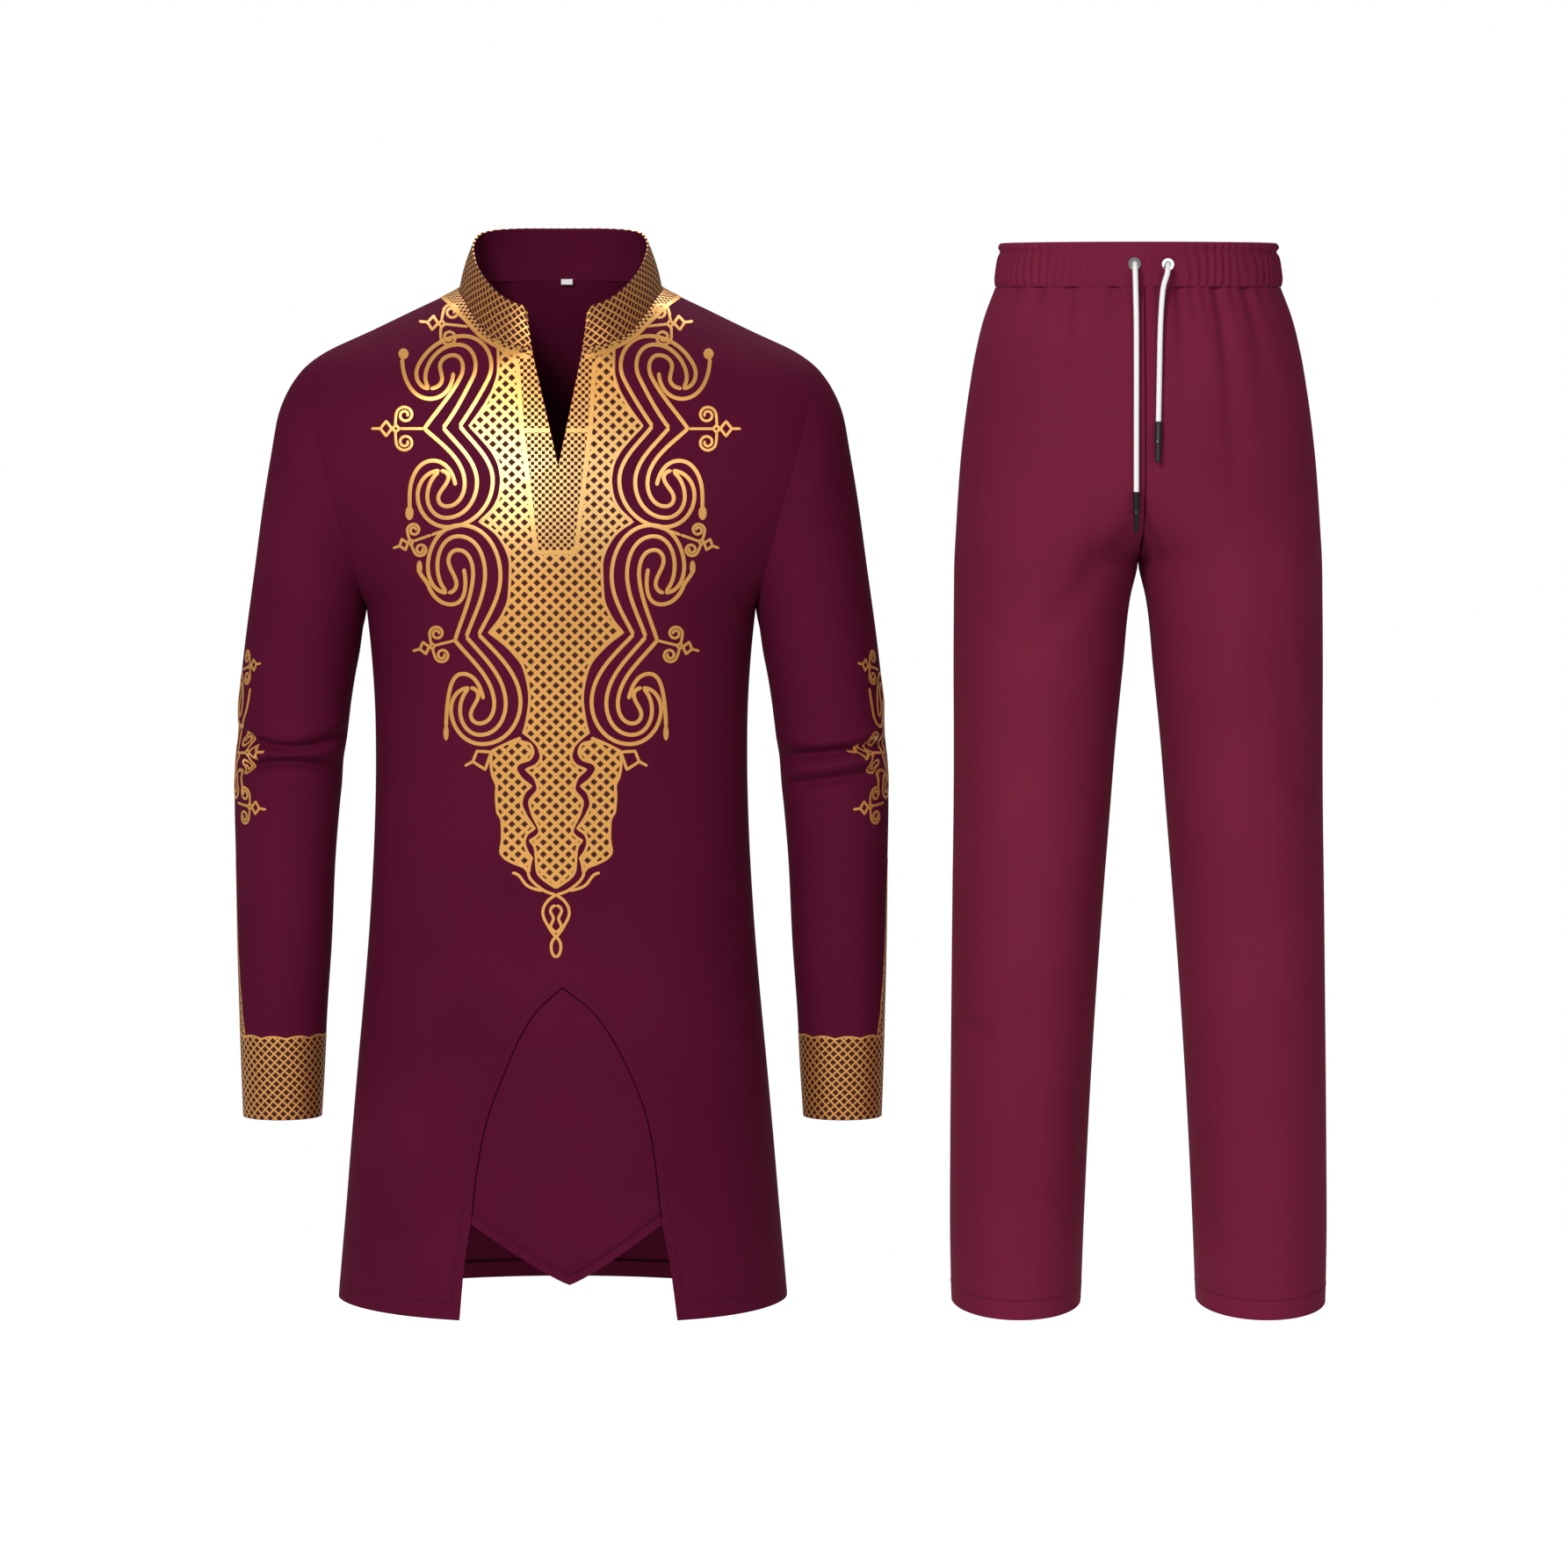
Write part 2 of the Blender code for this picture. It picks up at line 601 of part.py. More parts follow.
def weld(grids, core):
    """One open surface from grids of points that share edges, facing away from an upright line at core."""
    points = []
    faces = []
    for grid in grids:
        index = np.empty(grid.shape[:2], int)
        for place in np.ndindex(grid.shape[:2]):
            same = []
            if points:
                same = np.flatnonzero(np.linalg.norm(np.array(points) - grid[place], axis=1) < 1e-6)
            if len(same):
                index[place] = same[0]
            else:
                index[place] = len(points)
                points.append(grid[place])
        corners = zip(index[:-1, :-1].flat, index[:-1, 1:].flat, index[1:, 1:].flat, index[1:, :-1].flat)
        quads = [tuple(face) for face in corners]
        away = np.array([np.mean([points[i] for i in face], axis=0) - (*core, 0) for face in quads])
        facing = np.array([np.cross(points[c] - points[a], points[d] - points[b]) for a, b, c, d in quads])
        if np.sum((away * facing)[:, :2]) < 0:
            quads = [face[::-1] for face in quads]
        faces += quads
    return np.array(points), faces


def directions(points, faces):
    """The way that the surface faces at each of its points."""
    facing = np.zeros_like(points)
    for a, b, c, d in faces:
        facing[[a, b, c, d]] += np.cross(points[c] - points[a], points[d] - points[b])
    return facing / np.linalg.norm(facing, axis=1)[:, None]


def edges_of(faces):
    """Each open edge, with the face that holds it."""
    found = {}
    for face in faces:
        for start, end in zip(face, face[1:] + face[:1]):
            found.setdefault(frozenset((start, end)), []).append((start, end, face))
    return [entries[0] for entries in found.values() if len(entries) == 1]


def set_back(panel, shared, rims):
    """How far each point on a seam is drawn back, so that half the gap is on each side."""
    points, faces = panel["points"], panel["faces"]
    sideways = {}
    for start, end, face in rims:
        if not (panel["seam"][start] and panel["seam"][end]):
            continue
        along = points[end] - points[start]
        inward = points[list(face)].mean(axis=0) - (points[start] + points[end]) / 2
        for corner in (start, end):
            across = np.cross(along, shared[corner])
            across /= np.linalg.norm(across)
            lean = np.dot(across, inward) / np.linalg.norm(inward)
            if abs(lean) < 0.2:
                lean = -np.dot(across, panel["facing"][corner])
            sideways.setdefault(corner, []).append(across * math.copysign(1, lean))
    moves = np.zeros_like(points)
    for corner, ways in sideways.items():
        total = np.sum(ways, axis=0)
        if len(ways) == 2:
            total = total / (1 + max(np.dot(ways[0], ways[1]), -0.5))
        moves[corner] = total * SEAM_GAP / 2
    return moves


def sew(panels):
    """Makes each cut panel a closed wall. Panels that meet share the way their rims face, so their seams are even."""
    for panel in panels:
        panel["facing"] = directions(panel["points"], panel["faces"])
    for panel in panels:
        points = panel["points"]
        shared = panel["facing"].copy()
        panel["seam"] = np.zeros(len(points), bool)
        for other in panels:
            if other is panel:
                continue
            for index, point in enumerate(points):
                same = np.flatnonzero(np.linalg.norm(other["points"] - point, axis=1) < 1e-6)
                if len(same):
                    shared[index] += other["facing"][same[0]]
                    panel["seam"][index] = True
        shared /= np.linalg.norm(shared, axis=1)[:, None]
        rims = edges_of(panel["faces"])
        outside = points + set_back(panel, shared, rims)
        agree = np.sum(shared * panel["facing"], axis=1)
        depth = panel["cloth"] / np.maximum(agree, SHARPEST_SEAM)
        inside = outside - shared * depth[:, None]
        count = len(points)
        faces = list(panel["faces"])
        faces += [tuple(count + i for i in face[::-1]) for face in panel["faces"]]
        faces += [(end, start, count + start, count + end) for start, end, _ in rims]
        mesh = bpy.data.meshes.new(panel["name"])
        mesh.from_pydata(np.concatenate([outside, inside]).tolist(), [], faces)
        add_object(panel["name"], mesh, panel["colour"], 0.75)


def cut(name, grids, core, cloth, colour):
    """A panel as it is cut, ready to sew."""
    points, faces = weld(grids, core)
    return {"name": name, "points": points, "faces": faces, "cloth": cloth, "colour": colour}


def make_tunic():
    panels = [
        cut("tunic_front", front_grids(), (0, 0), BODY_CLOTH, WINE),
        cut("tunic_back", back_grids(), (0, 0), BODY_CLOTH, WINE),
        cut("tunic_inset", [inset_grid()], (0, 0), BODY_CLOTH, WINE),
        cut("collar", [collar_grid()], (0, 0), COLLAR_CLOTH, GOLD),
    ]
    for name, side in SIDES.items():
        core = (side * SLEEVE["inner"].mean() / 2 + side * SLEEVE["outer"].mean() / 2, 0)
        panels.append(cut("sleeve_" + name, [sleeve_grid(name)], core, BODY_CLOTH, WINE))
    sew(panels)


def make_label():
    bpy.ops.mesh.primitive_cube_add(size=1, location=LABEL_PLACE, scale=LABEL_SIZE)
    label = bpy.context.object
    label.name = "neck_label"
    label.users_collection[0].objects.unlink(label)
    bpy.data.collections[OUTFIT].objects.link(label)
    label.data.materials.append(material("neck_label", WHITE, 0.7))


def make_trousers():
    panels = []
    for name, side in SIDES.items():
        core = (TROUSERS_X + side * LEG["half_width"].mean() / 2, 0)
        for word, face in (("front", FRONT), ("back", BACK)):
            title = "trouser_" + word + "_" + name
            panels.append(cut(title, [leg_grid(side, face)], core, TROUSER_CLOTH, WARM_WINE))
    sew(panels)


def make_waistband():
    rows = len(BAND["height"])
    rings = [band_ring(row, True) for row in range(rows)]
    rings += [band_ring(rows - 1, False), band_ring(0, False)]
    count = 2 * GATHERS
    points = [point for ring in rings for point in ring]
    faces = []
    for ring in range(len(rings)):
        upper, lower = ring * count, (ring + 1) % len(rings) * count
        for step in range(count):
            beside = (step + 1) % count
            faces.append((upper + step, upper + beside, lower + beside, lower + step))
    mesh = bpy.data.meshes.new("waistband")
    mesh.from_pydata(points, [], faces)
    add_object("waistband", mesh, WARM_WINE, 0.75)


def band_face(x, height):
    """The depth of the band's flat face at an eyelet."""
    rows = BAND["height"][::-1]
    half = np.interp(height, rows, BAND["half_width"][::-1])
    depth = np.interp(height, rows, BAND["depth"][::-1])
    return -depth * math.sqrt(1 - ((x - TROUSERS_X) / half) ** 2)


def turned(name, profile, steps, colour, roughness, metallic):
    """A turned piece from a profile of (radius, height) points, by a Screw modifier."""
    mesh = bpy.data.meshes.new(name)
    points = [(radius, 0, height) for radius, height in profile]
    mesh.from_pydata(points, [(i, i + 1) for i in range(len(points) - 1)], [])
    made = add_object(name, mesh, colour, roughness, metallic)
    screw = made.modifiers.new("turn", "SCREW")
    screw.steps = steps
    screw.render_steps = steps
    screw.use_merge_vertices = True
    screw.merge_threshold = 0.00001
    return made


def make_eyelet(name):
    x, height = EYELETS[name]
    half, edge = EYELET_THICKNESS / 2, 0.0004
    profile = [
        (EYELET_HOLE, half - edge),
        (EYELET_HOLE + edge, half),
        (EYELET_RADIUS - edge, half),
        (EYELET_RADIUS, half - edge),
        (EYELET_RADIUS, -half),
        (EYELET_HOLE, -half),
        (EYELET_HOLE, half - edge),
    ]
    eyelet = turned("eyelet_" + name, profile, 16, SILVER, 0.25, 1.0)
    step = EYELET_RADIUS
    tilt_x = (band_face(x + step, height) - band_face(x - step, height)) / (2 * step)
    tilt_z = (band_face(x, height + step) - band_face(x, height - step)) / (2 * step)
    outward = Vector((tilt_x, -1, tilt_z)).normalized()
    eyelet.rotation_mode = "QUATERNION"
    eyelet.rotation_quaternion = Vector((0, 0, 1)).rotation_difference(outward)
    eyelet.location = Vector((x, band_face(x, height), height)) + outward * (SEAM_GAP + half)


def cloth_depth(x, height):
    """The depth of the band or of the trousers' front, without their folds."""
    if height > WAIST_SEAM:
        return band_face(x, height)
    half = read(LEG, "half_width", height)
    return -read(LEG, "front", height) * math.sqrt(1 - ((x - TROUSERS_X) / half) ** 2)


def cord_path(route):
    """Points on one smooth curve through the cord's route."""
    places = [Vector((x, cloth_depth(x, z) - off, z)) for x, z, off in zip(*route.values())]
    ends = [places[0] * 2 - places[1]] + places + [places[-1] * 2 - places[-2]]
    path = []
    for a, b, c, d in zip(ends, ends[1:], ends[2:], ends[3:]):
        for step in range(CORD_POINTS_A_SPAN):
            t = step / CORD_POINTS_A_SPAN
            bend = (2 * a - 5 * b + 4 * c - d) * t**2 + (3 * b - a - 3 * c + d) * t**3
            path.append((2 * b + (c - a) * t + bend) / 2)
    path.append(places[-1])
    return path


def make_cord(name):
    path = cord_path(CORD_ROUTES[name])
    curve = bpy.data.curves.new("drawcord_" + name, "CURVE")
    curve.dimensions = "3D"
    curve.bevel_depth = CORD_DIAMETER / 2
    curve.bevel_resolution = 2
    curve.use_fill_caps = True
    spline = curve.splines.new("POLY")
    spline.points.add(len(path) - 1)
    for point, place in zip(spline.points, path):
        point.co = (*place, 1)
    add_object("drawcord_" + name, curve, WHITE, 0.8)
    return path


def make_cord_tip(name, path):
    """The two-step tip below the cord's end, in line with it."""
    profile = list(zip(TIP_PROFILE["radius"], -TIP_PROFILE["down"]))
    profile = [(0, 0)] + profile + [(0, profile[-1][1])]
    tip = turned("cord_tip_" + name, profile, 12, BLACK, 0.4, 0.0)
    way = (path[-1] - path[-2]).normalized()
    tip.rotation_mode = "QUATERNION"
    tip.rotation_quaternion = Vector((0, 0, -1)).rotation_difference(way)
    tip.location = path[-1] + way * SEAM_GAP


def main():
    for old in list(bpy.data.objects):
        bpy.data.objects.remove(old)
    outfit = bpy.data.collections.new(OUTFIT)
    bpy.context.scene.collection.children.link(outfit)
    make_tunic()
    make_label()
    make_trousers()
    make_waistband()
    for name in SIDES:
        make_eyelet(name)
        make_cord_tip(name, make_cord(name))


main()
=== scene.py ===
"""Traditional outfit: a printed long tunic and drawstring trousers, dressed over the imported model.

Metres, +Z up, the front faces -Y, and right and left are the wearer's. The cloth pieces follow the same rings
as the solids that they replace, more finely, with seams, creases, hems and the gold foil print added.
"""

import math

import bmesh
import bpy
import numpy as np
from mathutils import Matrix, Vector
from mathutils.bvhtree import BVHTree


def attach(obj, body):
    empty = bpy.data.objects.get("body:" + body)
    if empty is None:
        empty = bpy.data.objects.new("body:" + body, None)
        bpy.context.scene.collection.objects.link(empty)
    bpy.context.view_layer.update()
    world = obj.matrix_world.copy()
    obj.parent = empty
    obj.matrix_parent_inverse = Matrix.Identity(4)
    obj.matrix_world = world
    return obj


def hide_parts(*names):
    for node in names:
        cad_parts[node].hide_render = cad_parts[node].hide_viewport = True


SIDES = {"right": -1, "left": 1}
FRONT, BACK = -1, 1

# Cloth thickness, and how fine its mesh is
THIN_CLOTH = 0.0009
COLLAR_CLOTH = 0.0016
BAND_CLOTH = 0.0024
CLOTH_STEP = 0.0052
FINE_STEP = 0.0036

# How far seams and stitches lie above the cloth, the stitches' width and their height above the hem
SEAM_LIFT = 0.0003
STITCH_WIDTH = 0.0010
STITCH_LENGTH = 0.0032
HEM_STITCHES = 0.0155
LEG_STITCHES = 0.0160


def table(columns, *rows):
    """A short table, as a dictionary of its named columns."""
    return {name: np.array(values) for name, values in zip(columns.split(), zip(*rows))}


def rows_of(source):
    """A table's rows."""
    return zip(*source.values())


def stacked(source, names=None, before=""):
    """A table's columns, or some of them by the ends of their names, as one array."""
    return np.stack([source[before + name] for name in names or source], axis=1)


def unit(vectors):
    """The vectors at length 1."""
    return vectors / np.linalg.norm(vectors, axis=-1)[..., None]


def curve(t, start, out, end, into):
    """A place between two points on a smooth curve with these slopes at its ends."""
    before = (2 * t**3 - 3 * t**2 + 1) * start + (t**3 - 2 * t**2 + t) * out
    return before + (3 * t**2 - 2 * t**3) * end + (t**3 - t**2) * into


# The tunic's rings from the armpits to the hem
BODY = table(
    "height half_width front back",
    (-0.2820, 0.1767, 0.128, 0.116),
    (-0.3230, 0.1725, 0.126, 0.114),
    (-0.3710, 0.1694, 0.121, 0.110),
    (-0.4190, 0.1687, 0.117, 0.108),
    (-0.4910, 0.1704, 0.115, 0.109),
    (-0.5390, 0.1729, 0.116, 0.112),
    (-0.5880, 0.1763, 0.119, 0.116),
    (-0.6360, 0.1804, 0.122, 0.120),
    (-0.6840, 0.1849, 0.126, 0.124),
    (-0.7330, 0.1894, 0.130, 0.128),
    (-0.7810, 0.1936, 0.133, 0.132),
    (-0.8300, 0.1977, 0.136, 0.135),
    (-0.8780, 0.2019, 0.138, 0.138),
    (-0.9180, 0.2052, 0.140, 0.140),
)
ARMPIT = -0.2820
HEM = -0.9180
HEM_CORNER_RISE = 0.004
HEM_CORNER_REACH = 0.10

# Half the arch cut into the front, and the slit below it
ARCH = table(
    "height half_width",
    (-0.6185, 0.0000),
    (-0.6390, 0.0240),
    (-0.6620, 0.0400),
    (-0.6890, 0.0533),
    (-0.7380, 0.0717),
    (-0.7800, 0.0796),
    (-0.8260, 0.0850),
    (-0.8600, 0.0912),
    (-0.9180, 0.0978),
)
ARCH_TOP = -0.6185
ARCH_FOOT = -0.8260
INSET_CORNER = -0.8310
INSET_POINT = -0.8837
APEX_DROP = 0.0012

# How far the front's middle hangs off centre, towards the left side
HANG = table(
    "height aside",
    (-0.0500, 0.0000),
    (-0.1523, 0.0020),
    (-0.3000, 0.0000),
    (-0.5600, -0.0010),
    (-0.6185, 0.0046),
    (-0.6890, 0.0092),
    (-0.8300, 0.0095),
    (-0.9180, 0.0120),
)

# The middle of the front above the armpits, with the V slit's tip, and the middle of the back
FRONT_LINE = table(
    "height depth",
    (-0.0485, -0.0830),
    (-0.0830, -0.0962),
    (-0.1180, -0.1085),
    (-0.1523, -0.1180),
    (-0.2170, -0.1262),
    (-0.2820, -0.1280),
)
SLIT_TIP = -0.1523
SLIT_ROWS = (-0.0830, -0.1180, SLIT_TIP)
CHEST_ROWS = (-0.2170, ARMPIT)
BACK_LINE = table(
    "height depth",
    (0.0120, 0.0670),
    (-0.0300, 0.0830),
    (-0.0800, 0.0990),
    (-0.1300, 0.1090),
    (-0.1800, 0.1145),
    (-0.2300, 0.1165),
    (-0.2820, 0.1160),
)
BACK_ROWS = (-0.0300, -0.0800, -0.1300, -0.1800, -0.2300, ARMPIT)

# Half the collar, from the front corner round to the middle of the back: its seam and its top edge
PLACE = ("across", "depth", "height")
COLLAR = table(
    "seam_across seam_depth seam_height top_across top_depth top_height",
    (0.0226, -0.0830, -0.0485, 0.0262, -0.0750, -0.0122),
    (0.0420, -0.0775, -0.0450, 0.0400, -0.0695, -0.0080),
    (0.0590, -0.0670, -0.0385, 0.0545, -0.0585, 0.0010),
    (0.0745, -0.0460, -0.0225, 0.0670, -0.0405, 0.0135),
    (0.0860, -0.0180, -0.0055, 0.0762, -0.0190, 0.0285),
    (0.0920, 0.0120, 0.0045, 0.0798, 0.0060, 0.0435),
    (0.0850, 0.0380, 0.0095, 0.0745, 0.0300, 0.0545),
    (0.0660, 0.0550, 0.0115, 0.0555, 0.0480, 0.0590),
    (0.0350, 0.0640, 0.0120, 0.0290, 0.0575, 0.0600),
    (0.0000, 0.0670, 0.0120, 0.0000, 0.0610, 0.0600),
)
COLLAR_SHOULDER = 5
COLLAR_BULGE = 0.0015
COLLAR_CORNER = 0.0075
COLLAR_CORNER_DROP = 0.0058

# The shoulder seam from the collar to the sleeve
SHOULDER = table(
    "across depth height",
    (0.0920, 0.0120, 0.0045),
    (0.1089, 0.0115, -0.0046),
    (0.1296, 0.0105, -0.0141),
    (0.1702, 0.0080, -0.0331),
    (0.2120, 0.0055, -0.0522),
    (0.2262, 0.0045, -0.0617),
    (0.2342, 0.0040, -0.0690),
)

# The sleeve's rings from the armhole to the end, each by its outer and inner point
SLEEVE = table(
    "outer outer_height inner inner_height middle front back",
    (0.2342, -0.0690, 0.1767, -0.2820, 0.0040, 0.0660, 0.0700),
    (0.2450, -0.0840, 0.1767, -0.2850, 0.0036, 0.0662, 0.0700),
    (0.2557, -0.1085, 0.1772, -0.2885, 0.0030, 0.0665, 0.0700),
    (0.2624, -0.1440, 0.1778, -0.2920, 0.0024, 0.0665, 0.0695),
    (0.2700, -0.1900, 0.1787, -0.2965, 0.0018, 0.0660, 0.0690),
    (0.2775, -0.2450, 0.1800, -0.3020, 0.0012, 0.0650, 0.0680),
    (0.2862, -0.3080, 0.1832, -0.3240, 0.0006, 0.0630, 0.0660),
    (0.2905, -0.3440, 0.1878, -0.3480, 0.0000, 0.0610, 0.0640),
    (0.2937, -0.3740, 0.1918, -0.3740, 0.0000, 0.0595, 0.0620),
    (0.2938, -0.3890, 0.1936, -0.3890, 0.0000, 0.0588, 0.0612),
    (0.2942, -0.4000, 0.1950, -0.4000, 0.0000, 0.0582, 0.0606),
    (0.2952, -0.4100, 0.1966, -0.4100, 0.0000, 0.0578, 0.0600),
    (0.2965, -0.4200, 0.1982, -0.4200, 0.0000, 0.0573, 0.0594),
    (0.2972, -0.4300, 0.1990, -0.4300, 0.0000, 0.0568, 0.0588),
    (0.2975, -0.4430, 0.1999, -0.4430, 0.0000, 0.0560, 0.0580),
    (0.2976, -0.4670, 0.2024, -0.4670, 0.0000, 0.0545, 0.0562),
    (0.2968, -0.5150, 0.2064, -0.5150, 0.0000, 0.0520, 0.0535),
    (0.2960, -0.5880, 0.2099, -0.5880, 0.0000, 0.0480, 0.0490),
    (0.2946, -0.6500, 0.2143, -0.6500, 0.0000, 0.0440, 0.0445),
    (0.2931, -0.7050, 0.2172, -0.7050, 0.0000, 0.0405, 0.0405),
    (0.2916, -0.7485, 0.2200, -0.7485, 0.0000, 0.0380, 0.0380),
)

# The trousers' middle, and how far they lean to their left for each metre down
TROUSERS_X = 0.5226
TROUSERS_LEAN = 0.0045

# The trousers' rings from the waist seam to the hem: half the gap between the legs, the side seam's angle
LEG = table(
    "height half_width gap front back seam",
    (0.0054, 0.1290, 0.0000, 0.1000, 0.1000, 18.0),
    (-0.0204, 0.1388, 0.0000, 0.1080, 0.1080, 21.0),
    (-0.0522, 0.1468, 0.0000, 0.1130, 0.1160, 22.0),
    (-0.0839, 0.1524, 0.0000, 0.1175, 0.1220, 22.0),
    (-0.1157, 0.1569, 0.0000, 0.1200, 0.1270, 21.0),
    (-0.1475, 0.1605, 0.0000, 0.1205, 0.1300, 20.0),
    (-0.1793, 0.1630, 0.0000, 0.1190, 0.1290, 20.0),
    (-0.2112, 0.1650, 0.0000, 0.1150, 0.1240, 22.0),
    (-0.2423, 0.1667, 0.0000, 0.1100, 0.1170, 26.0),
    (-0.2750, 0.1672, 0.0072, 0.1060, 0.1110, 30.0),
    (-0.3389, 0.1677, 0.0140, 0.1010, 0.1040, 28.0),
    (-0.4029, 0.1676, 0.0204, 0.0960, 0.0980, 10.0),
    (-0.4671, 0.1680, 0.0256, 0.0920, 0.0930, 3.0),
    (-0.5313, 0.1690, 0.0308, 0.0890, 0.0890, 0.0),
    (-0.6601, 0.1706, 0.0401, 0.0850, 0.0860, 0.0),
    (-0.7893, 0.1719, 0.0474, 0.0835, 0.0840, 0.0),
    (-0.8541, 0.1722, 0.0503, 0.0830, 0.0830, 0.0),
    (-0.9170, 0.1712, 0.0527, 0.0825, 0.0825, 0.0),
)
WAIST_SEAM = 0.0054
CROTCH = -0.2423
LEG_HEM = -0.9170
RISE_CURVE = 6.0
HEM_DIP = 0.0075
HEM_DIP_REACH = 0.067
LEG_COLUMNS = 80

# Folds that fall from the waist seam: place across at the seam, depth, half width and length
WAIST_FOLDS = {
    FRONT: table(
        "across depth reach length",
        (-0.1130, 0.0020, 0.005, 0.045),
        (-0.0926, 0.0040, 0.006, 0.090),
        (-0.0780, 0.0018, 0.004, 0.040),
        (-0.0659, 0.0058, 0.006, 0.180),
        (-0.0470, 0.0018, 0.004, 0.050),
        (-0.0274, 0.0050, 0.006, 0.130),
        (0.0120, 0.0024, 0.004, 0.060),
        (0.0310, 0.0052, 0.005, 0.150),
        (0.0420, 0.0034, 0.004, 0.090),
        (0.0530, 0.0024, 0.003, 0.060),
        (0.0653, 0.0058, 0.006, 0.300),
        (0.0790, 0.0024, 0.004, 0.070),
        (0.0928, 0.0048, 0.006, 0.170),
        (0.1060, 0.0020, 0.004, 0.060),
    ),
    BACK: table(
        "across depth reach length",
        (-0.1050, 0.0016, 0.005, 0.060),
        (-0.0880, 0.0030, 0.009, 0.130),
        (-0.0700, 0.0014, 0.004, 0.050),
        (-0.0520, 0.0040, 0.009, 0.200),
        (-0.0330, 0.0016, 0.005, 0.060),
        (-0.0150, 0.0025, 0.009, 0.100),
        (0.0040, 0.0014, 0.004, 0.050),
        (0.0260, 0.0035, 0.009, 0.160),
        (0.0440, 0.0016, 0.004, 0.050),
        (0.0600, 0.0030, 0.009, 0.110),
        (0.0760, 0.0014, 0.004, 0.060),
        (0.0900, 0.0040, 0.010, 0.210),
    ),
}

# The waistband's rings: how far each swells and how much of the gathers it shows
BAND = table(
    "height half_width depth swell gather",
    (0.0453, 0.1248, 0.0965, -0.0004, 0.25),
    (0.0437, 0.1250, 0.0966, 0.0006, 0.80),
    (0.0412, 0.1253, 0.0969, 0.0010, 1.00),
    (0.0372, 0.1258, 0.0973, -0.0010, 0.30),
    (0.0330, 0.1264, 0.0978, 0.0004, 0.80),
    (0.0250, 0.1273, 0.0985, 0.0010, 1.00),
    (0.0150, 0.1284, 0.0994, 0.0012, 1.00),
    (0.0085, 0.1290, 0.0998, 0.0004, 0.80),
    (0.0057, 0.1292, 0.1000, -0.0006, 0.50),
)
GATHERS = 78
GATHER_DEPTH = 0.0012

# Eyelets in the front of the band, and the cords that hang from them
EYELETS = {"right": (0.5138, 0.0257), "left": (0.5434, 0.0249)}
EYELET_CALM = 0.012
EYELET_RADIUS = 0.0056
CORD_WIDTH = 0.0050
CORD_ROUTES = {
    "right": table(
        "across height off",
        (0.5138, 0.0257, 0.0008),
        (0.5138, 0.0260, 0.0040),
        (0.5138, 0.0247, 0.0075),
        (0.5138, 0.0212, 0.0103),
        (0.5139, 0.0160, 0.0112),
        (0.5143, 0.0024, 0.0095),
        (0.5148, -0.0300, 0.0052),
        (0.5147, -0.0850, 0.0044),
        (0.5147, -0.1350, 0.0044),
        (0.5149, -0.1762, 0.0044),
    ),
    "left": table(
        "across height off",
        (0.5434, 0.0249, 0.0008),
        (0.5435, 0.0252, 0.0040),
        (0.5434, 0.0239, 0.0075),
        (0.5429, 0.0204, 0.0103),
        (0.5419, 0.0152, 0.0112),
        (0.5385, 0.0024, 0.0095),
        (0.5361, -0.0300, 0.0052),
        (0.5350, -0.0750, 0.0044),
        (0.5342, -0.1141, 0.0044),
    ),
}
CORD_POINTS_A_SPAN = 3

# Long soft creases of the legs, from one place to another
LEG_CREASES = {
    FRONT: table(
        "across height to_across to_height depth reach",
        (-0.0165, -0.2260, -0.1066, -0.3160, 0.0045, 0.0150),
        (-0.0300, -0.1300, -0.0480, -0.2500, 0.0020, 0.0120),
        (-0.0550, -0.7200, -0.0500, -0.7830, 0.0035, 0.0060),
        (-0.1700, -0.6560, -0.1450, -0.6650, 0.0040, 0.0080),
        (0.0380, -0.7680, 0.0660, -0.8540, 0.0035, 0.0070),
        (0.1080, -0.2300, 0.1350, -0.4200, 0.0020, 0.0140),
        (-0.1000, -0.3600, -0.1050, -0.8600, 0.0016, 0.0120),
        (0.1000, -0.3000, 0.1080, -0.8800, 0.0016, 0.0120),
    ),
    BACK: table(
        "across height to_across to_height depth reach",
        (-0.0200, -0.2400, -0.1000, -0.3000, 0.0045, 0.0150),
        (0.0200, -0.2350, 0.1050, -0.3200, 0.0045, 0.0150),
        (-0.0900, -0.4700, -0.1350, -0.5000, 0.0035, 0.0080),
        (0.1000, -0.4650, 0.1500, -0.4880, 0.0035, 0.0080),
        (-0.0700, -0.7600, -0.0900, -0.8500, 0.0030, 0.0080),
        (0.0950, -0.7800, 0.0750, -0.8600, 0.0030, 0.0080),
    ),
}

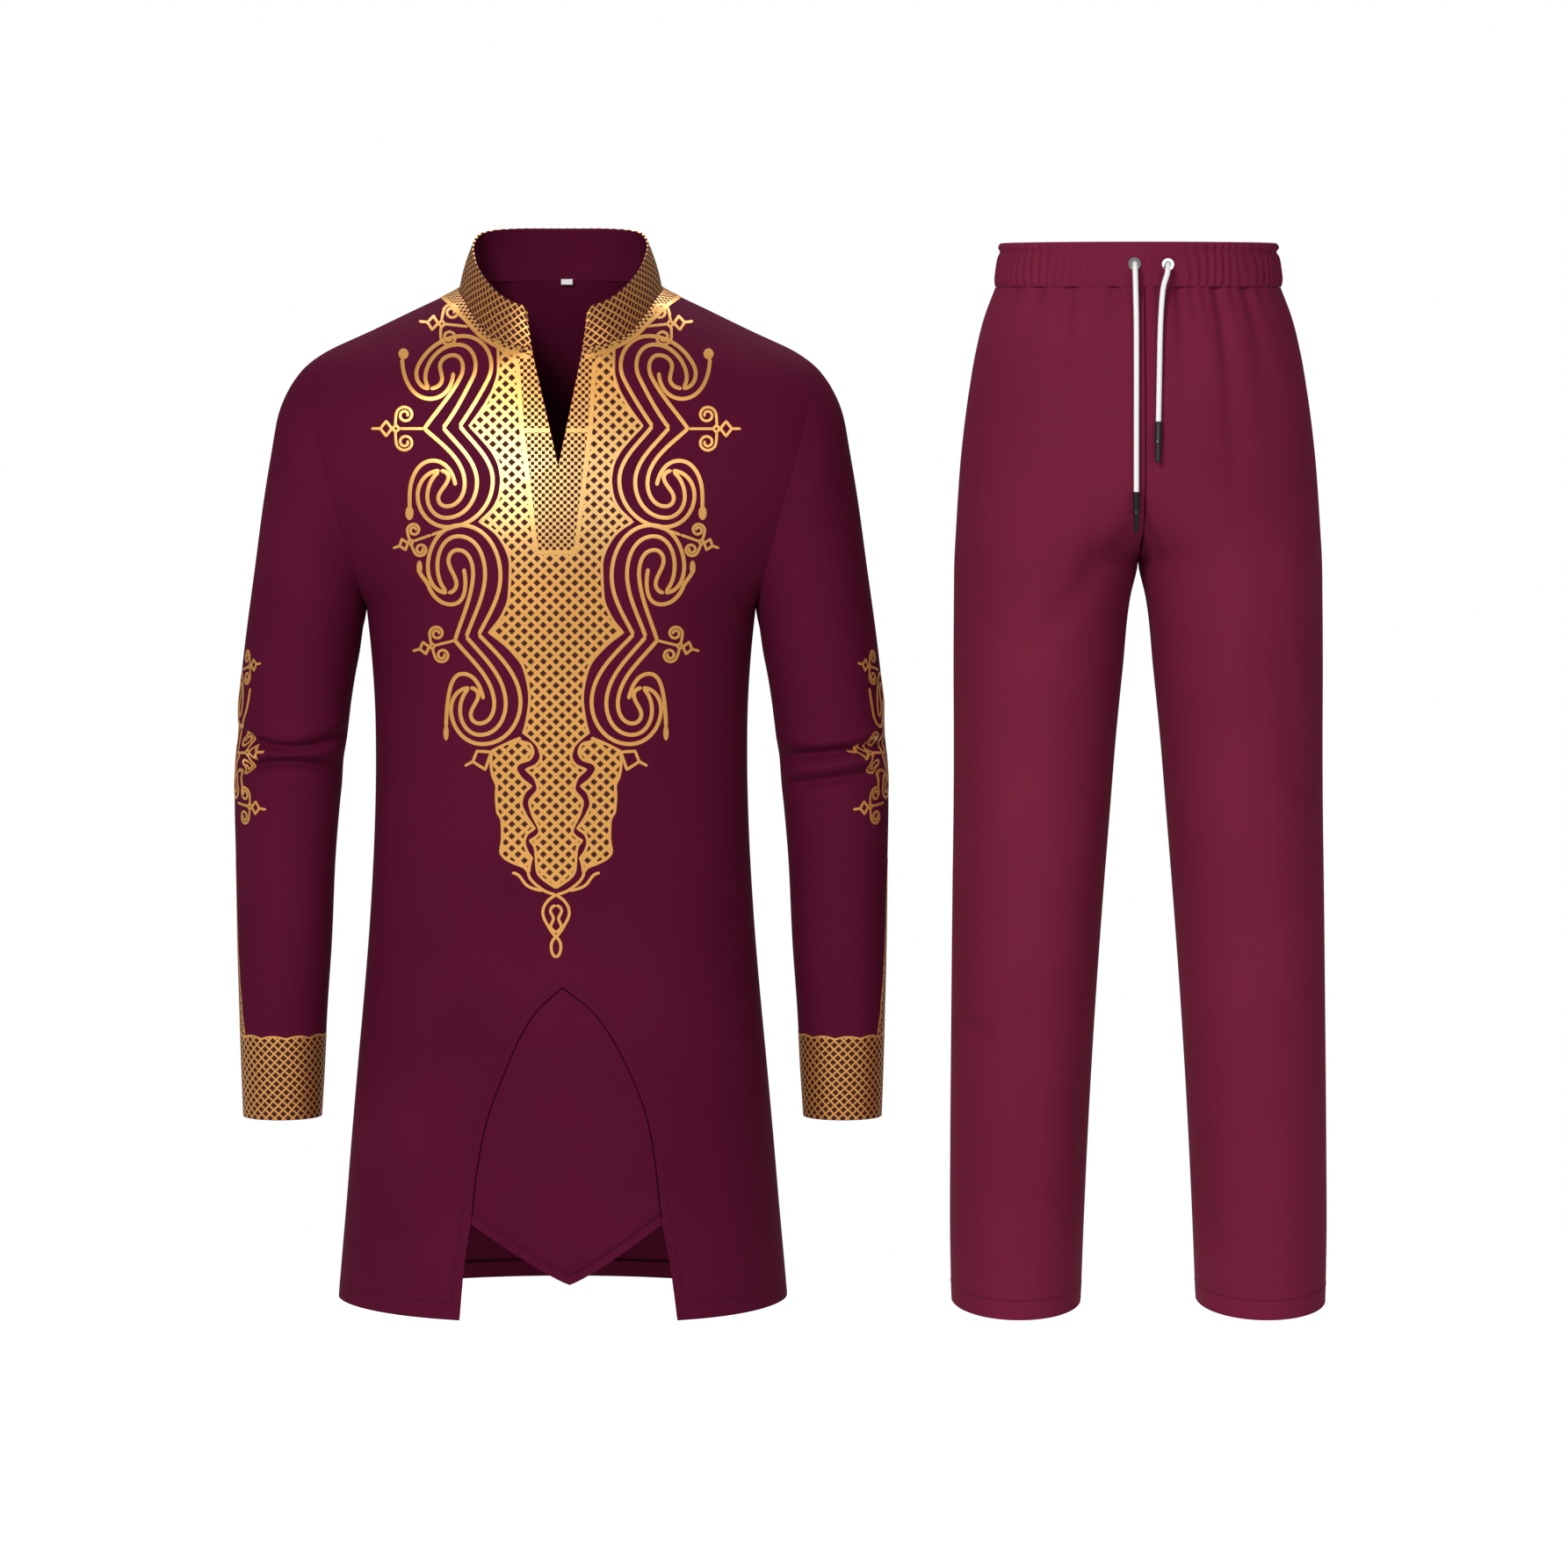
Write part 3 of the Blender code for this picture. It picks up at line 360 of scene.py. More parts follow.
# Creases at the elbows: face, heights at the outer side, middle and inner side, rise and half height
ELBOW_CREASES = {
    "right": table(
        "face outer middle inner rise reach",
        (FRONT, -0.3800, -0.3960, -0.3820, 0.0035, 0.0100),
        (FRONT, -0.3925, -0.4080, -0.3955, -0.0080, 0.0044),
        (FRONT, -0.4110, -0.4140, -0.4120, 0.0050, 0.0060),
        (FRONT, -0.4325, -0.4205, -0.4300, -0.0085, 0.0046),
        (FRONT, -0.4440, -0.4340, -0.4430, 0.0026, 0.0090),
        (BACK, -0.3960, -0.4080, -0.4060, 0.0035, 0.0080),
        (BACK, -0.4250, -0.4220, -0.4290, -0.0045, 0.0070),
    ),
    "left": table(
        "face outer middle inner rise reach",
        (FRONT, -0.3930, -0.4020, -0.4010, 0.0050, 0.0070),
        (FRONT, -0.4060, -0.4115, -0.4180, -0.0085, 0.0046),
        (FRONT, -0.4140, -0.4240, -0.4330, 0.0052, 0.0062),
        (FRONT, -0.4300, -0.4360, -0.4440, -0.0075, 0.0050),
        (FRONT, -0.4420, -0.4480, -0.4560, 0.0025, 0.0090),
        (BACK, -0.4020, -0.4110, -0.4000, 0.0035, 0.0080),
        (BACK, -0.4210, -0.4270, -0.4240, -0.0045, 0.0070),
    ),
}

# The viewer's place and lens, and the plan of the front's print. The plan is drawn as the viewer sees it: its
# unit is one part in 1785 of the picture, across from the front's middle and down from the panel's corner.
VIEWER = (0.2024, -5.485, -0.045)
VIEW_AIM = (0.2024, 0.0, -0.445)
LENS = 138.7
SENSOR = 36
PICTURE = 1785
FOCAL = LENS / SENSOR * PICTURE
FORWARD = (Vector(VIEW_AIM) - Vector(VIEWER)).normalized()
UPWARD = Vector((1, 0, 0)).cross(FORWARD)
PLAN_MIDDLE = (633, 485)
PLAN_UNIT = 0.000779
LIFT = 0.00022
LAYER = 0.00003
CROWN = 0.0001
FOIL = 0.0004

# A coil of the scroll: three lines from the cusps to where they join, as places and headings from its middle
COIL = {
    "wide": ((53.5, -15, 90), (2, 38, 180), (-32, 2, 270), (-7, -26, 0)),
    "middle": ((35.5, -13, 90), (0.5, 27.5, 180), (-21, 3.5, 270), (-8, -25, 320)),
    "narrow": ((21.5, -11.5, 90), (1, 14.5, 180), (-8.5, 5.5, 270), (0.5, -11.5, 300), (3, -18.5, 270),
               (-6, -26, 180)),
}
COILS = table(
    "across down wide tall lean",
    (-125.5, 77, 1.00, 1.00, 0.00),
    (-125.0, -67, 1.02, -0.93, 0.50),
    (-114.5, 158.5, 0.98, -1.20, 0.08),
    (-89.5, 324, 0.94, 1.00, -0.10),
)
CUSPS = (
    {"wide": (-109.5, 0, 53), "middle": (-128.5, 2, 51), "narrow": (-150, 3, 42)},
    {"wide": (-109.5, 0, -56), "middle": (-128.5, 2, -52), "narrow": (-150, 3, -55)},
    {"wide": (-88, 237.5, -63), "middle": (-102, 240, -71), "narrow": (-115, 244, -73)},
    {"wide": (-88, 237.5, 46), "middle": (-102, 240, 50), "narrow": (-115, 244, 51)},
)
TAILS = (
    ((-114.5, 68, 262), (-140, 39.5, 180), (-166, 71, 97), (-166.5, 94, 90)),
    ((-117, -61, 90), (-143, -31, 180), (-175, -77, 270)),
    ((-105, 162, 78), (-119.5, 203, 180), (-145, 182, 250), (-155, 166, 250)),
    ((-82.5, 311, 258), (-106, 282, 180), (-122, 306, 100), (-125, 342, 91)),
)
BUDS = table(
    "across down half_width half_length",
    (-166.7, 99, 4.6, 8.0),
    (-173.5, -82, 5.8, 6.2),
    (-155.3, 161, 3.2, 8.0),
    (-125, 349, 3.0, 9.0),
)
SCROLL_WIDTH = 4.4

# Finials on the scroll: where the stem starts, its turn downwards and its scale
FINIALS = table(
    "across down turn scale",
    (-150.0, 3, 0, 1.00),
    (-115.0, 244, 14, 0.82),
    (-142.0, 124, 19, 0.76),
    (-100.0, -113, -6, 0.93),
)
FINIAL_STEM = ((-113, 114), (-142, 124))
FINIAL_WIDTH = 3.3
SPIRAL = {"across": 22.0, "down": 15.5, "start": 10.2, "end": 2.6, "turns": 1.6}

# The lattice panel: half its width by scallops that meet at corners, down to the tip of the tongue
PANEL = (
    ((67, -99), (66, -87), (65.5, -64), (70, -45), (79, -27), (98, 0)),
    ((98, 0), (82, 17), (71, 31), (64, 47), (62, 62), (64, 78), (70, 92), (87, 109)),
    ((87, 109), (65, 126), (52, 158), (53.5, 194), (61, 215), (76, 235)),
    ((76, 235), (53.5, 253), (36, 277), (30, 310), (34, 339), (37, 349)),
    ((37, 349), (28, 356), (19.5, 366), (17, 376), (21.5, 385), (34, 391)),
    ((34, 391), (23.5, 402), (20.5, 413), (30, 428), (27.5, 440), (18.5, 461), (29.5, 472)),
    ((29.5, 472), (23.5, 482), (21.5, 506), (0, 525.5)),
)
SIDE_PANEL_INNER = (
    ((40, 355), (42.5, 358), (30, 362), (26, 371), (30, 379), (42.5, 384), (46, 390), (40.5, 400),
     (28.5, 410)),
    ((28.5, 410), (37, 419), (39.5, 430), (35, 442), (24.5, 458)),
    ((24.5, 458), (34, 466), (36, 474), (33, 484), (27.5, 492)),
    ((27.5, 492), (29.5, 498), (31, 508)),
)
SIDE_PANEL_OUTER = (
    ((40.5, 355), (53, 360), (73, 370)),
    ((73, 370), (74, 384), (72, 398), (67.5, 410), (68, 421), (66.5, 440)),
    ((66.5, 440), (61.5, 451), (61, 468), (63, 484), (59, 491), (49, 497), (36, 502.5), (31.5, 508)),
)
PLACKET_EDGE = ((66, -99), (57, -86), (49, -78), (42.5, -69), (38, 2), (31.5, 56), (23.5, 127), (21, 143))
PLACKET_FOOT = 143
PLACKET_BAR = 5
EDGE_WIDTH = 3.2

# The loops below the tongue
TAIL_LINES = (
    ((-31.5, 505, 100), (-15, 528, 35), (0, 534, 20)),
    ((-15, 529, 190), (-33, 523, 215), (-42, 512, 225), (-50, 508.5, 190)),
    ((0, 534, 155), (-15, 554, 90), (-8, 571, 62), (0, 582, 50)),
    ((0, 546, 180), (-6.3, 552, 90), (-3, 560, 80), (-6, 569, 100), (0, 577, 50)),
    ((0, 582, 150), (-5.5, 593, 90), (0, 605, 30)),
)
OPEN_DIAMOND = ((-74, 371), (-90, 370), (-94.5, 382), (-80.5, 391), (-74, 372))
DIAMOND_POINT = ((-94, 381.5), (-104, 387))

# The checked band below the collar: its width from the front corner round to the middle of the back
NECK_BAND = (0.0080, 0.0060, 0.0045, 0.0060, 0.0105, 0.0150, 0.0160, 0.0160, 0.0160, 0.0160)
NECK_EDGE = 0.0038

# The foil's colours, with the painted highlight's pale gold and the heights between which it is painted, and
# the ground that shows in its holes
DEEP_GOLD = (0.84, 0.42, 0.11)
PAINTED_HIGHLIGHT_GOLD = (0.95, 0.72, 0.34)
DARK_GOLD = (0.50, 0.20, 0.055)
PAINTED_HIGHLIGHT_MIDDLE = -0.172
PAINTED_HIGHLIGHT_REACH = 0.085
GROUND_IN_PRINT = (0.050, 0.0045, 0.005)
VECTOR, NUMBER = "NodeSocketVector", "NodeSocketFloat"

# The sleeves' ends and outer sides
CUFF_TOP = -0.6740
SCALLOP = {"length": 0.0225, "rise": 0.0022}
STRIP = table(
    "height half_width",
    (-0.5130, 0.0004),
    (-0.5220, 0.0060),
    (-0.5350, 0.0090),
    (-0.5600, 0.0110),
    (-0.6100, 0.0150),
    (-0.6450, 0.0190),
    (-0.6740, 0.0235),
)
SLEEVE_CUSP = -0.4150
SLEEVE_FINIALS = table(
    "along height turn scale",
    (0.0230, -0.4150, -4, 0.96),
    (0.0250, -0.4600, 6, 0.86),
    (0.0180, -0.3400, -14, 0.80),
)


def read(source, column, height):
    """A column's values at some heights, on a smooth curve through the table's rows."""
    places = -source["height"]
    values = source[column]
    slopes = np.gradient(values, places)
    at = np.clip(-np.asarray(height, float), places[0], places[-1])
    row = np.clip(np.searchsorted(places, at, side="right") - 1, 0, len(places) - 2)
    span = places[row + 1] - places[row]
    t = (at - places[row]) / span
    return curve(t, values[row], span * slopes[row], values[row + 1], span * slopes[row + 1])


def finer(points, times):
    """The same line or grid with more rows, on curves that don't overshoot its points."""
    points = np.asarray(points, float)
    steps = np.diff(points, axis=0)
    slopes = np.zeros_like(points)
    before, after = steps[:-1], steps[1:]
    same = before * after > 0
    slopes[1:-1] = np.where(same, 2 * before * after / np.where(same, before + after, 1), 0)
    slopes[0] = steps[0] * 1.5 - slopes[1] * 0.5
    slopes[-1] = steps[-1] * 1.5 - slopes[-2] * 0.5
    rows = []
    for row, step in enumerate(steps):
        for t in np.arange(times) / times:
            rows.append(curve(t, points[row], slopes[row], points[row] + step, slopes[row + 1]))
    rows.append(points[-1])
    return np.array(rows)


def lengths_along(points):
    """How far along a line each of its points is."""
    return np.concatenate([[0], np.cumsum(np.linalg.norm(np.diff(points, axis=0), axis=1))])


def spaced(points, count):
    """As many points, evenly spaced along a curve that is given by many."""
    points = np.array(points)
    lengths = lengths_along(points)
    places = np.linspace(0, lengths[-1], count)
    return np.stack([np.interp(places, lengths, column) for column in points.T], axis=1)


def coons(inner, outer, top, bottom):
    """A patch of points between four edges: inner and outer run down, top and bottom run outwards."""
    down = np.linspace(0, 1, len(inner))[:, None, None]
    out = np.linspace(0, 1, len(top))[None, :, None]
    across = (1 - out) * inner[:, None] + out * outer[:, None]
    along = (1 - down) * top[None] + down * bottom[None]
    upper = (1 - out) * top[0] + out * top[-1]
    lower = (1 - out) * bottom[0] + out * bottom[-1]
    return across + along - (1 - down) * upper - down * lower


def body_row(height, across, face, columns):
    """Half a ring of the tunic, from this far off the middle out to the side seam."""
    half = float(read(BODY, "half_width", height))
    depth = float(read(BODY, "front" if face == FRONT else "back", height))
    angles = np.linspace(math.acos(min(1, across / half)), 0, 240)
    ring = np.stack([half * np.cos(angles), face * depth * np.sin(angles), np.full(240, height)], axis=1)
    return spaced(ring, columns + 1)


def hung(points, side):
    """The points on their side of the body, with the front's middle hanging as it does off centre."""
    placed = points * (side, 1, 1)
    flat = placed.reshape(-1, 3)
    half = read(BODY, "half_width", flat[:, 2])
    share = np.clip(1 - (flat[:, 0] / half) ** 2, 0, 1) * (flat[:, 1] < 0)
    flat[:, 0] += read(HANG, "aside", flat[:, 2]) * share
    return flat.reshape(points.shape)


def collar_line(part, times):
    """The collar's seam or top edge, from the front corner to the middle of the back."""
    return finer(stacked(COLLAR, PLACE, part + "_"), times)


def sleeve_rings(angles, times):
    """The sleeve's rings: angle 0 is the outer point, half a turn the inner point, by way of the front."""
    rings = []
    for outer_x, outer_z, inner_x, inner_z, middle, front, back in finer(stacked(SLEEVE), times):
        outer, inner = np.array((outer_x, middle, outer_z)), np.array((inner_x, 0.0, inner_z))
        depth = np.where(np.sin(angles) > 0, front, back)
        ring = (outer + inner) / 2 + (outer - inner) / 2 * np.cos(angles)[:, None]
        ring[:, 1] -= depth * np.sin(angles)
        rings.append(ring)
    return np.array(rings)


def armhole(face, steps):
    """The armhole from the shoulder down to the armpit, at the front or the back."""
    return sleeve_rings(np.linspace(0, math.pi, steps + 1) * -face, 1)[0]


def slit_half(height):
    """Half the V slit's width at a height above its tip."""
    return COLLAR["seam_across"][0] * (height - SLIT_TIP) / (COLLAR["seam_height"][0] - SLIT_TIP)


def upper_half(face, times, columns):
    """Half the front or the back from the shoulder to the armpit."""
    neck = collar_line("seam", times)
    if face == FRONT:
        neck = neck[: COLLAR_SHOULDER * times + 1][::-1]
        slit = [neck[-1]] + [(slit_half(z), read(FRONT_LINE, "depth", z), z) for z in SLIT_ROWS]
        neck = np.concatenate([neck, finer(slit, times)[1:]])
        line, heights = FRONT_LINE, CHEST_ROWS
    else:
        neck = neck[COLLAR_SHOULDER * times :]
        line, heights = BACK_LINE, BACK_ROWS
    middle = [neck[-1]] + [(0, read(line, "depth", z), z) for z in heights]
    inner = np.concatenate([neck, finer(middle, times)[1:]])
    shoulder = spaced(finer(stacked(SHOULDER), 6), columns + 1)
    return coons(inner, armhole(face, len(inner) - 1), shoulder, body_row(ARMPIT, 0, face, columns))


def heights_between(top, bottom, step):
    return np.linspace(top, bottom, max(2, round((top - bottom) / step) + 1))


def lower_body(face, columns, open_front):
    """Half the body below the armpit. The front parts at the arch."""
    rows = [body_row(z, 0, face, columns) for z in heights_between(ARMPIT, ARCH_TOP, CLOTH_STEP)]
    for z in heights_between(ARCH_TOP, HEM, CLOTH_STEP)[1:]:
        across = float(read(ARCH, "half_width", z)) if open_front else 0
        rows.append(body_row(z, across, face, columns))
    rows = np.array(rows)
    rows[..., 2] += hem_rise(rows[..., 2], np.abs(rows[..., 0]) / rows[:, -1:, 0])
    return rows


def hem_rise(height, share):
    """How far the hem's corners rise, at some heights and shares of the half width."""
    near_hem = np.clip(1 - (height - HEM) / HEM_CORNER_REACH, 0, 1) ** 2
    return HEM_CORNER_RISE * near_hem * share**6


def tunic_halves(face, times, columns):
    """The two halves of the tunic's front or back. The front hangs off centre."""
    half = np.concatenate([upper_half(face, times, columns)[:-1], lower_body(face, columns, face == FRONT)])
    return [hung(half, side) if face == FRONT else half * (side, 1, 1) for side in SIDES.values()]


def inset_foot(beside):
    """The height of the inset's bottom edge, from -1 at one corner to 1 at the other."""
    return INSET_POINT + (INSET_CORNER - INSET_POINT) * np.abs(beside) ** 1.15


def inset_grid():
    """The arched inset, whose bottom edge dips to a point."""
    columns = 17
    rows = []
    for z in heights_between(ARCH_TOP - APEX_DROP, ARCH_FOOT, FINE_STEP):
        edge = float(read(ARCH, "half_width", z))
        whole = body_row(z, 0, FRONT, 400)
        inside = whole[whole[:, 0] <= edge]
        edge_row = body_row(z, edge, FRONT, 1)[:1]
        half = spaced(np.concatenate([inside, edge_row]), columns + 1)
        rows.append(np.concatenate([half[:0:-1] * (-1, 1, 1), half]))
    last = rows[-1]
    lowest = inset_foot(last[:, 0] / last[-1, 0])
    for share in np.linspace(0, 1, 15)[1:]:
        row = last.copy()
        row[:, 2] += share * (lowest - last[:, 2])
        row[:, 1] -= share * 0.0015
        rows.append(row)
    return hung(np.array(rows), 1)


def collar_grid():
    """The stand collar from its right front corner round the back to its left one, both corners rounded."""
    times, steps = 7, 13
    seam, top = collar_line("seam", times), collar_line("top", times)
    corner = np.clip(1 - lengths_along(top) / COLLAR_CORNER, 0, 1)
    top[:, 2] -= COLLAR_CORNER_DROP * (1 - np.sqrt(1 - corner**2))
    rows = []
    for share in np.linspace(0, 1, steps):
        half = seam + (top - seam) * share
        outward = half * (1, 1, 0) / np.linalg.norm(half[:, :2], axis=1)[:, None]
        half = half + outward * COLLAR_BULGE * math.sin(math.pi * share)
        rows.append(np.concatenate([half * (-1, 1, 1), half[-2::-1]]))
    return np.array(rows)


def crease(folds, angles, height):
    """How far the elbow's creases lift the sleeve at these angles."""
    facing = np.where(np.sin(angles) > 0, FRONT, BACK)
    inward = (1 - np.cos(angles)) / 2
    lift = np.zeros(len(angles))
    for face, outer, middle, inner, rise, reach in rows_of(folds):
        bend = middle - (outer + inner) / 2
        line = outer + (inner - outer) * inward + 4 * bend * inward * (1 - inward)
        near = np.exp(-(((height - line) / reach) ** 2))
        lift += rise * near * np.abs(np.sin(angles)) ** 1.3 * (facing == face)
    return lift


def sleeve_grid(name):
    angles = np.linspace(0, 2 * math.pi, 85)
    rows = []
    for ring in sleeve_rings(angles, 8):
        outward = unit(ring - ring[:-1].mean(axis=0))
        ring = ring + outward * crease(ELBOW_CREASES[name], angles, ring[:, 2])[:, None]
        rows.append(ring * (SIDES[name], 1, 1))
    return np.array(rows)


def waist_folds(face, across, height):
    """How deep the folds below the waist are along a row."""
    folds = WAIST_FOLDS[face]
    flare = float(read(LEG, "half_width", height)) / LEG["half_width"][0]
    gone = np.clip((WAIST_SEAM - height) / folds["length"], 0, 1)
    widths = folds["reach"] * flare * (1 + gone)
    near = np.exp(-(((across[:, None] - folds["across"] * flare) / widths) ** 2))
    return near @ (folds["depth"] * (1 - gone) ** 1.3)


def leg_creases(face, across, height):
    """How deep the long soft creases of the legs are along a row."""
    sink = np.zeros(len(across))
    for x, z, to_x, to_z, depth, reach in rows_of(LEG_CREASES[face]):
        step = np.array((to_x - x, to_z - z))
        offset = np.stack([across - x, np.full(len(across), height - z)], axis=1)
        share = np.clip(offset @ step / (step @ step), 0, 1)
        gap = np.linalg.norm(offset - share[:, None] * step, axis=1)
        sink += depth * np.exp(-((gap / reach) ** 2))
    return sink


def leg_row(height, side, face, columns):
    """A row of one trouser panel, from the side seam to the middle seam or the inseam."""
    half = float(read(LEG, "half_width", height))
    if height <= CROTCH:
        gap = float(read(LEG, "gap", height))
        middle, width, turn = (half + gap) / 2, (half - gap) / 2, math.pi
    else:
        turn = math.pi / 2 * (1 + ((WAIST_SEAM - height) / (WAIST_SEAM - CROTCH)) ** RISE_CURVE)
        width = half / (1 - math.cos(turn))
        middle = half - width
    seam = math.radians(float(read(LEG, "seam", height)))
    angles = np.linspace(seam, turn * -face, 300)
    depth = np.where(angles > 0, read(LEG, "front", height), read(LEG, "back", height))
    across = side * (middle + width * np.cos(angles))
    points = np.stack([across, -depth * np.sin(angles), np.full(300, height)], axis=1)
    outward = unit(np.stack([side * np.cos(angles) / width, -np.sin(angles) / depth, np.zeros(300)], axis=1))
    sinks = [waist_folds(way, across, height) + leg_creases(way, across, height) for way in (FRONT, BACK)]
    sink = np.where(angles > 0, *sinks) * np.minimum(1, np.abs(np.sin(angles)) * 2)
    points -= outward * sink[:, None]
    points[:, 0] += TROUSERS_X + TROUSERS_LEAN * (WAIST_SEAM - height)
    near_hem = np.clip(1 - (height - LEG_HEM) / HEM_DIP_REACH, 0, 1)
    points[:, 2] -= HEM_DIP * np.sin(angles) * near_hem
    return spaced(points, columns + 1)


def leg_grid(side, face):
    rise = heights_between(WAIST_SEAM, CROTCH, FINE_STEP)
    leg = heights_between(CROTCH, LEG_HEM, CLOTH_STEP)
    return np.array([leg_row(z, side, face, LEG_COLUMNS) for z in (*rise, *leg[1:])])


def flat_near_eyelets(x):
    """0 beside an eyelet, where the band lies flat, and 1 away from both."""
    nearest = np.min([np.abs(x - place[0]) for place in EYELETS.values()], axis=0)
    return np.clip((nearest - EYELET_RADIUS) / EYELET_CALM, 0, 1) ** 2


def band_ring(height, half_width, depth, swell, gather):
    """A ring of the waistband, with its uneven gathers."""
    angles = np.linspace(0, 2 * math.pi, GATHERS * 10 + 1)
    ring = np.stack([half_width * np.cos(angles), -depth * np.sin(angles)], axis=1)
    phase = GATHERS * angles + 2.3 * np.sin(5 * angles + 0.7) + 1.4 * np.sin(11 * angles + 60 * height)
    uneven = 0.62 + 0.38 * np.sin(9 * angles + 1.3) * np.cos(4 * angles)
    offset = swell + GATHER_DEPTH * gather * uneven * np.sin(phase)
    calm = np.where(ring[:, 1] < 0, flat_near_eyelets(ring[:, 0] + TROUSERS_X), 1)
    reach = 1 + offset * calm / np.linalg.norm(ring, axis=1)
    ring = ring * reach[:, None] + (TROUSERS_X, 0)
    ring[-1] = ring[0]
    return np.column_stack([ring, np.full(len(ring), height)])


def band_grid():
    return np.array([band_ring(*row) for row in finer(stacked(BAND), 3)])


def deselect_all():
    for thing in bpy.context.selected_objects:
        thing.select_set(False)


def select_only(thing):
    deselect_all()
    thing.select_set(True)
    bpy.context.view_layer.objects.active = thing


def smooth(piece, angle=50):
    select_only(piece)
    bpy.ops.object.shade_smooth_by_angle(angle=math.radians(angle))


def dressed(piece, slot_name, *nodes):
    """A finished piece, on the part's one body, that stands for these solids."""
    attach(piece, "root")
    if nodes:
        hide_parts(*nodes)
    return piece


def cloth_patch(grid, places=None):
    """One patch: a grid primitive whose points are laid on the given rows, with UVs in metres of cloth."""
    rows, columns = grid.shape[:2]
    deselect_all()
    bpy.ops.mesh.primitive_grid_add(x_subdivisions=columns - 1, y_subdivisions=rows - 1, size=1)
    patch = bpy.context.object
    mesh = patch.data
    flat = np.empty(len(mesh.vertices) * 3)
    mesh.vertices.foreach_get("co", flat)
    flat = flat.reshape(-1, 3)
    column = np.rint((flat[:, 0] + 0.5) * (columns - 1)).astype(int)
    row = np.rint((0.5 - flat[:, 1]) * (rows - 1)).astype(int)
    mesh.vertices.foreach_set("co", grid[row, column].ravel())
    if places is None:
        across = np.array([lengths_along(line) for line in grid]).mean(axis=0)
        down = np.array([lengths_along(line) for line in grid.transpose(1, 0, 2)]).mean(axis=0)
        places = np.stack(np.meshgrid(across, -down), axis=2)
    corners = np.empty(len(mesh.loops), int)
    mesh.loops.foreach_get("vertex_index", corners)
    mesh.uv_layers[0].data.foreach_set("uv", places[row, column][corners].ravel())
    mesh.uv_layers[0].name = "cloth"
    mesh.update()
    return patch


def face_away(piece, core):
    """Turns an open cloth piece so that it faces away from an upright line."""
    mesh = piece.data
    total = 0
    for polygon in mesh.polygons:
        away = (polygon.center - Vector((*core, polygon.center.z))).normalized()
        total += away.dot(polygon.normal) * polygon.area
    if total < 0:
        mesh.flip_normals()


def cloth_piece(name, patches, core, thickness, finish, inner_finish=None, melt=0.00002):
    """Faces the patches outwards, joins those that meet, and gives the cloth its thickness inwards."""
    deselect_all()
    for patch in patches:
        face_away(patch, core)
        patch.select_set(True)
    bpy.context.view_layer.objects.active = patches[0]
    if len(patches) > 1:
        bpy.ops.object.join()
    piece = bpy.context.object
    piece.name = name
    select_only(piece)
    bpy.ops.object.mode_set(mode="EDIT")
    bpy.ops.mesh.select_all(action="SELECT")
    bpy.ops.mesh.remove_doubles(threshold=melt)
    bpy.ops.object.mode_set(mode="OBJECT")
    piece.data.materials.clear()
    piece.data.materials.append(finish)
    wall = piece.modifiers.new("thickness", "SOLIDIFY")
    wall.thickness = thickness
    wall.offset = -1
    wall.use_even_offset = thickness > FOIL
    if inner_finish:
        piece.data.materials.append(inner_finish)
        wall.material_offset = 1
    bpy.ops.object.modifier_apply(modifier=wall.name)
    smooth(piece)
    return piece


def sewn_cloth(node, slot_name, grids, core, finish):
    """The thin cloth of one panel in place of its solid."""
    piece = cloth_piece(node + "_cloth", [cloth_patch(grid) for grid in grids], core, THIN_CLOTH, finish)
    dressed(piece, slot_name, node)


def print_piece(name, patches, finish, core=(0, 0), slot_name="printed_cloth"):
    """Foil print, or a painted seam shadow or stitches, as a thin skin on the cloth."""
    piece = cloth_piece(name, patches, core, FOIL, finish, melt=0.000002)
    return dressed(piece, slot_name)


def heading_of(degrees):
    """The direction on the plan at some degrees from across towards down."""
    return np.array((math.cos(math.radians(degrees)), math.sin(math.radians(degrees))))


def pen_line(nodes, step=1.6):
    """A smooth line through nodes that each give a place and a heading, close to arcs between them."""
    points = [np.array(nodes[0][:2], float)]
    for (x0, y0, from_heading), (x1, y1, to_heading) in zip(nodes, nodes[1:]):
        start, end = np.array((x0, y0), float), np.array((x1, y1), float)
        chord = np.linalg.norm(end - start)
        turn = math.radians(max(1, abs((to_heading - from_heading + 180) % 360 - 180)))
        reach = chord * 2 * math.tan(turn / 4) / math.sin(turn / 2)
        out, into = reach * heading_of(from_heading), reach * heading_of(to_heading)
        count = max(3, round(chord * 1.1 / step))
        for t in np.arange(1, count + 1) / count:
            points.append(curve(t, start, out, end, into))
    return np.array(points)


def coil_lines(row):
    """The three lines of one coil, each from its cusp, and the hooked tail."""
    across, down, wide, tall, lean = (COILS[name][row] for name in COILS)
    lines = []
    for name, nodes in COIL.items():
        placed = [CUSPS[row][name]]
        for x, y, heading in nodes:
            step = heading_of(heading) * (wide, tall)
            turned = math.degrees(math.atan2(step[1], step[0] - lean * step[1]))
            placed.append((across + wide * x - lean * tall * y, down + tall * y, turned))
        lines.append(pen_line(placed))
    lines.append(pen_line(TAILS[row]))
    return lines


def straight(*corners, step=1.6):
    """A line with corners, as closely spaced points."""
    corners = np.array(corners, float)
    pieces = [corners[:1]]
    for start, end in zip(corners, corners[1:]):
        count = max(1, round(float(np.linalg.norm(end - start)) / step))
        pieces.append(start + (end - start) * np.arange(1, count + 1)[:, None] / count)
    return np.concatenate(pieces)


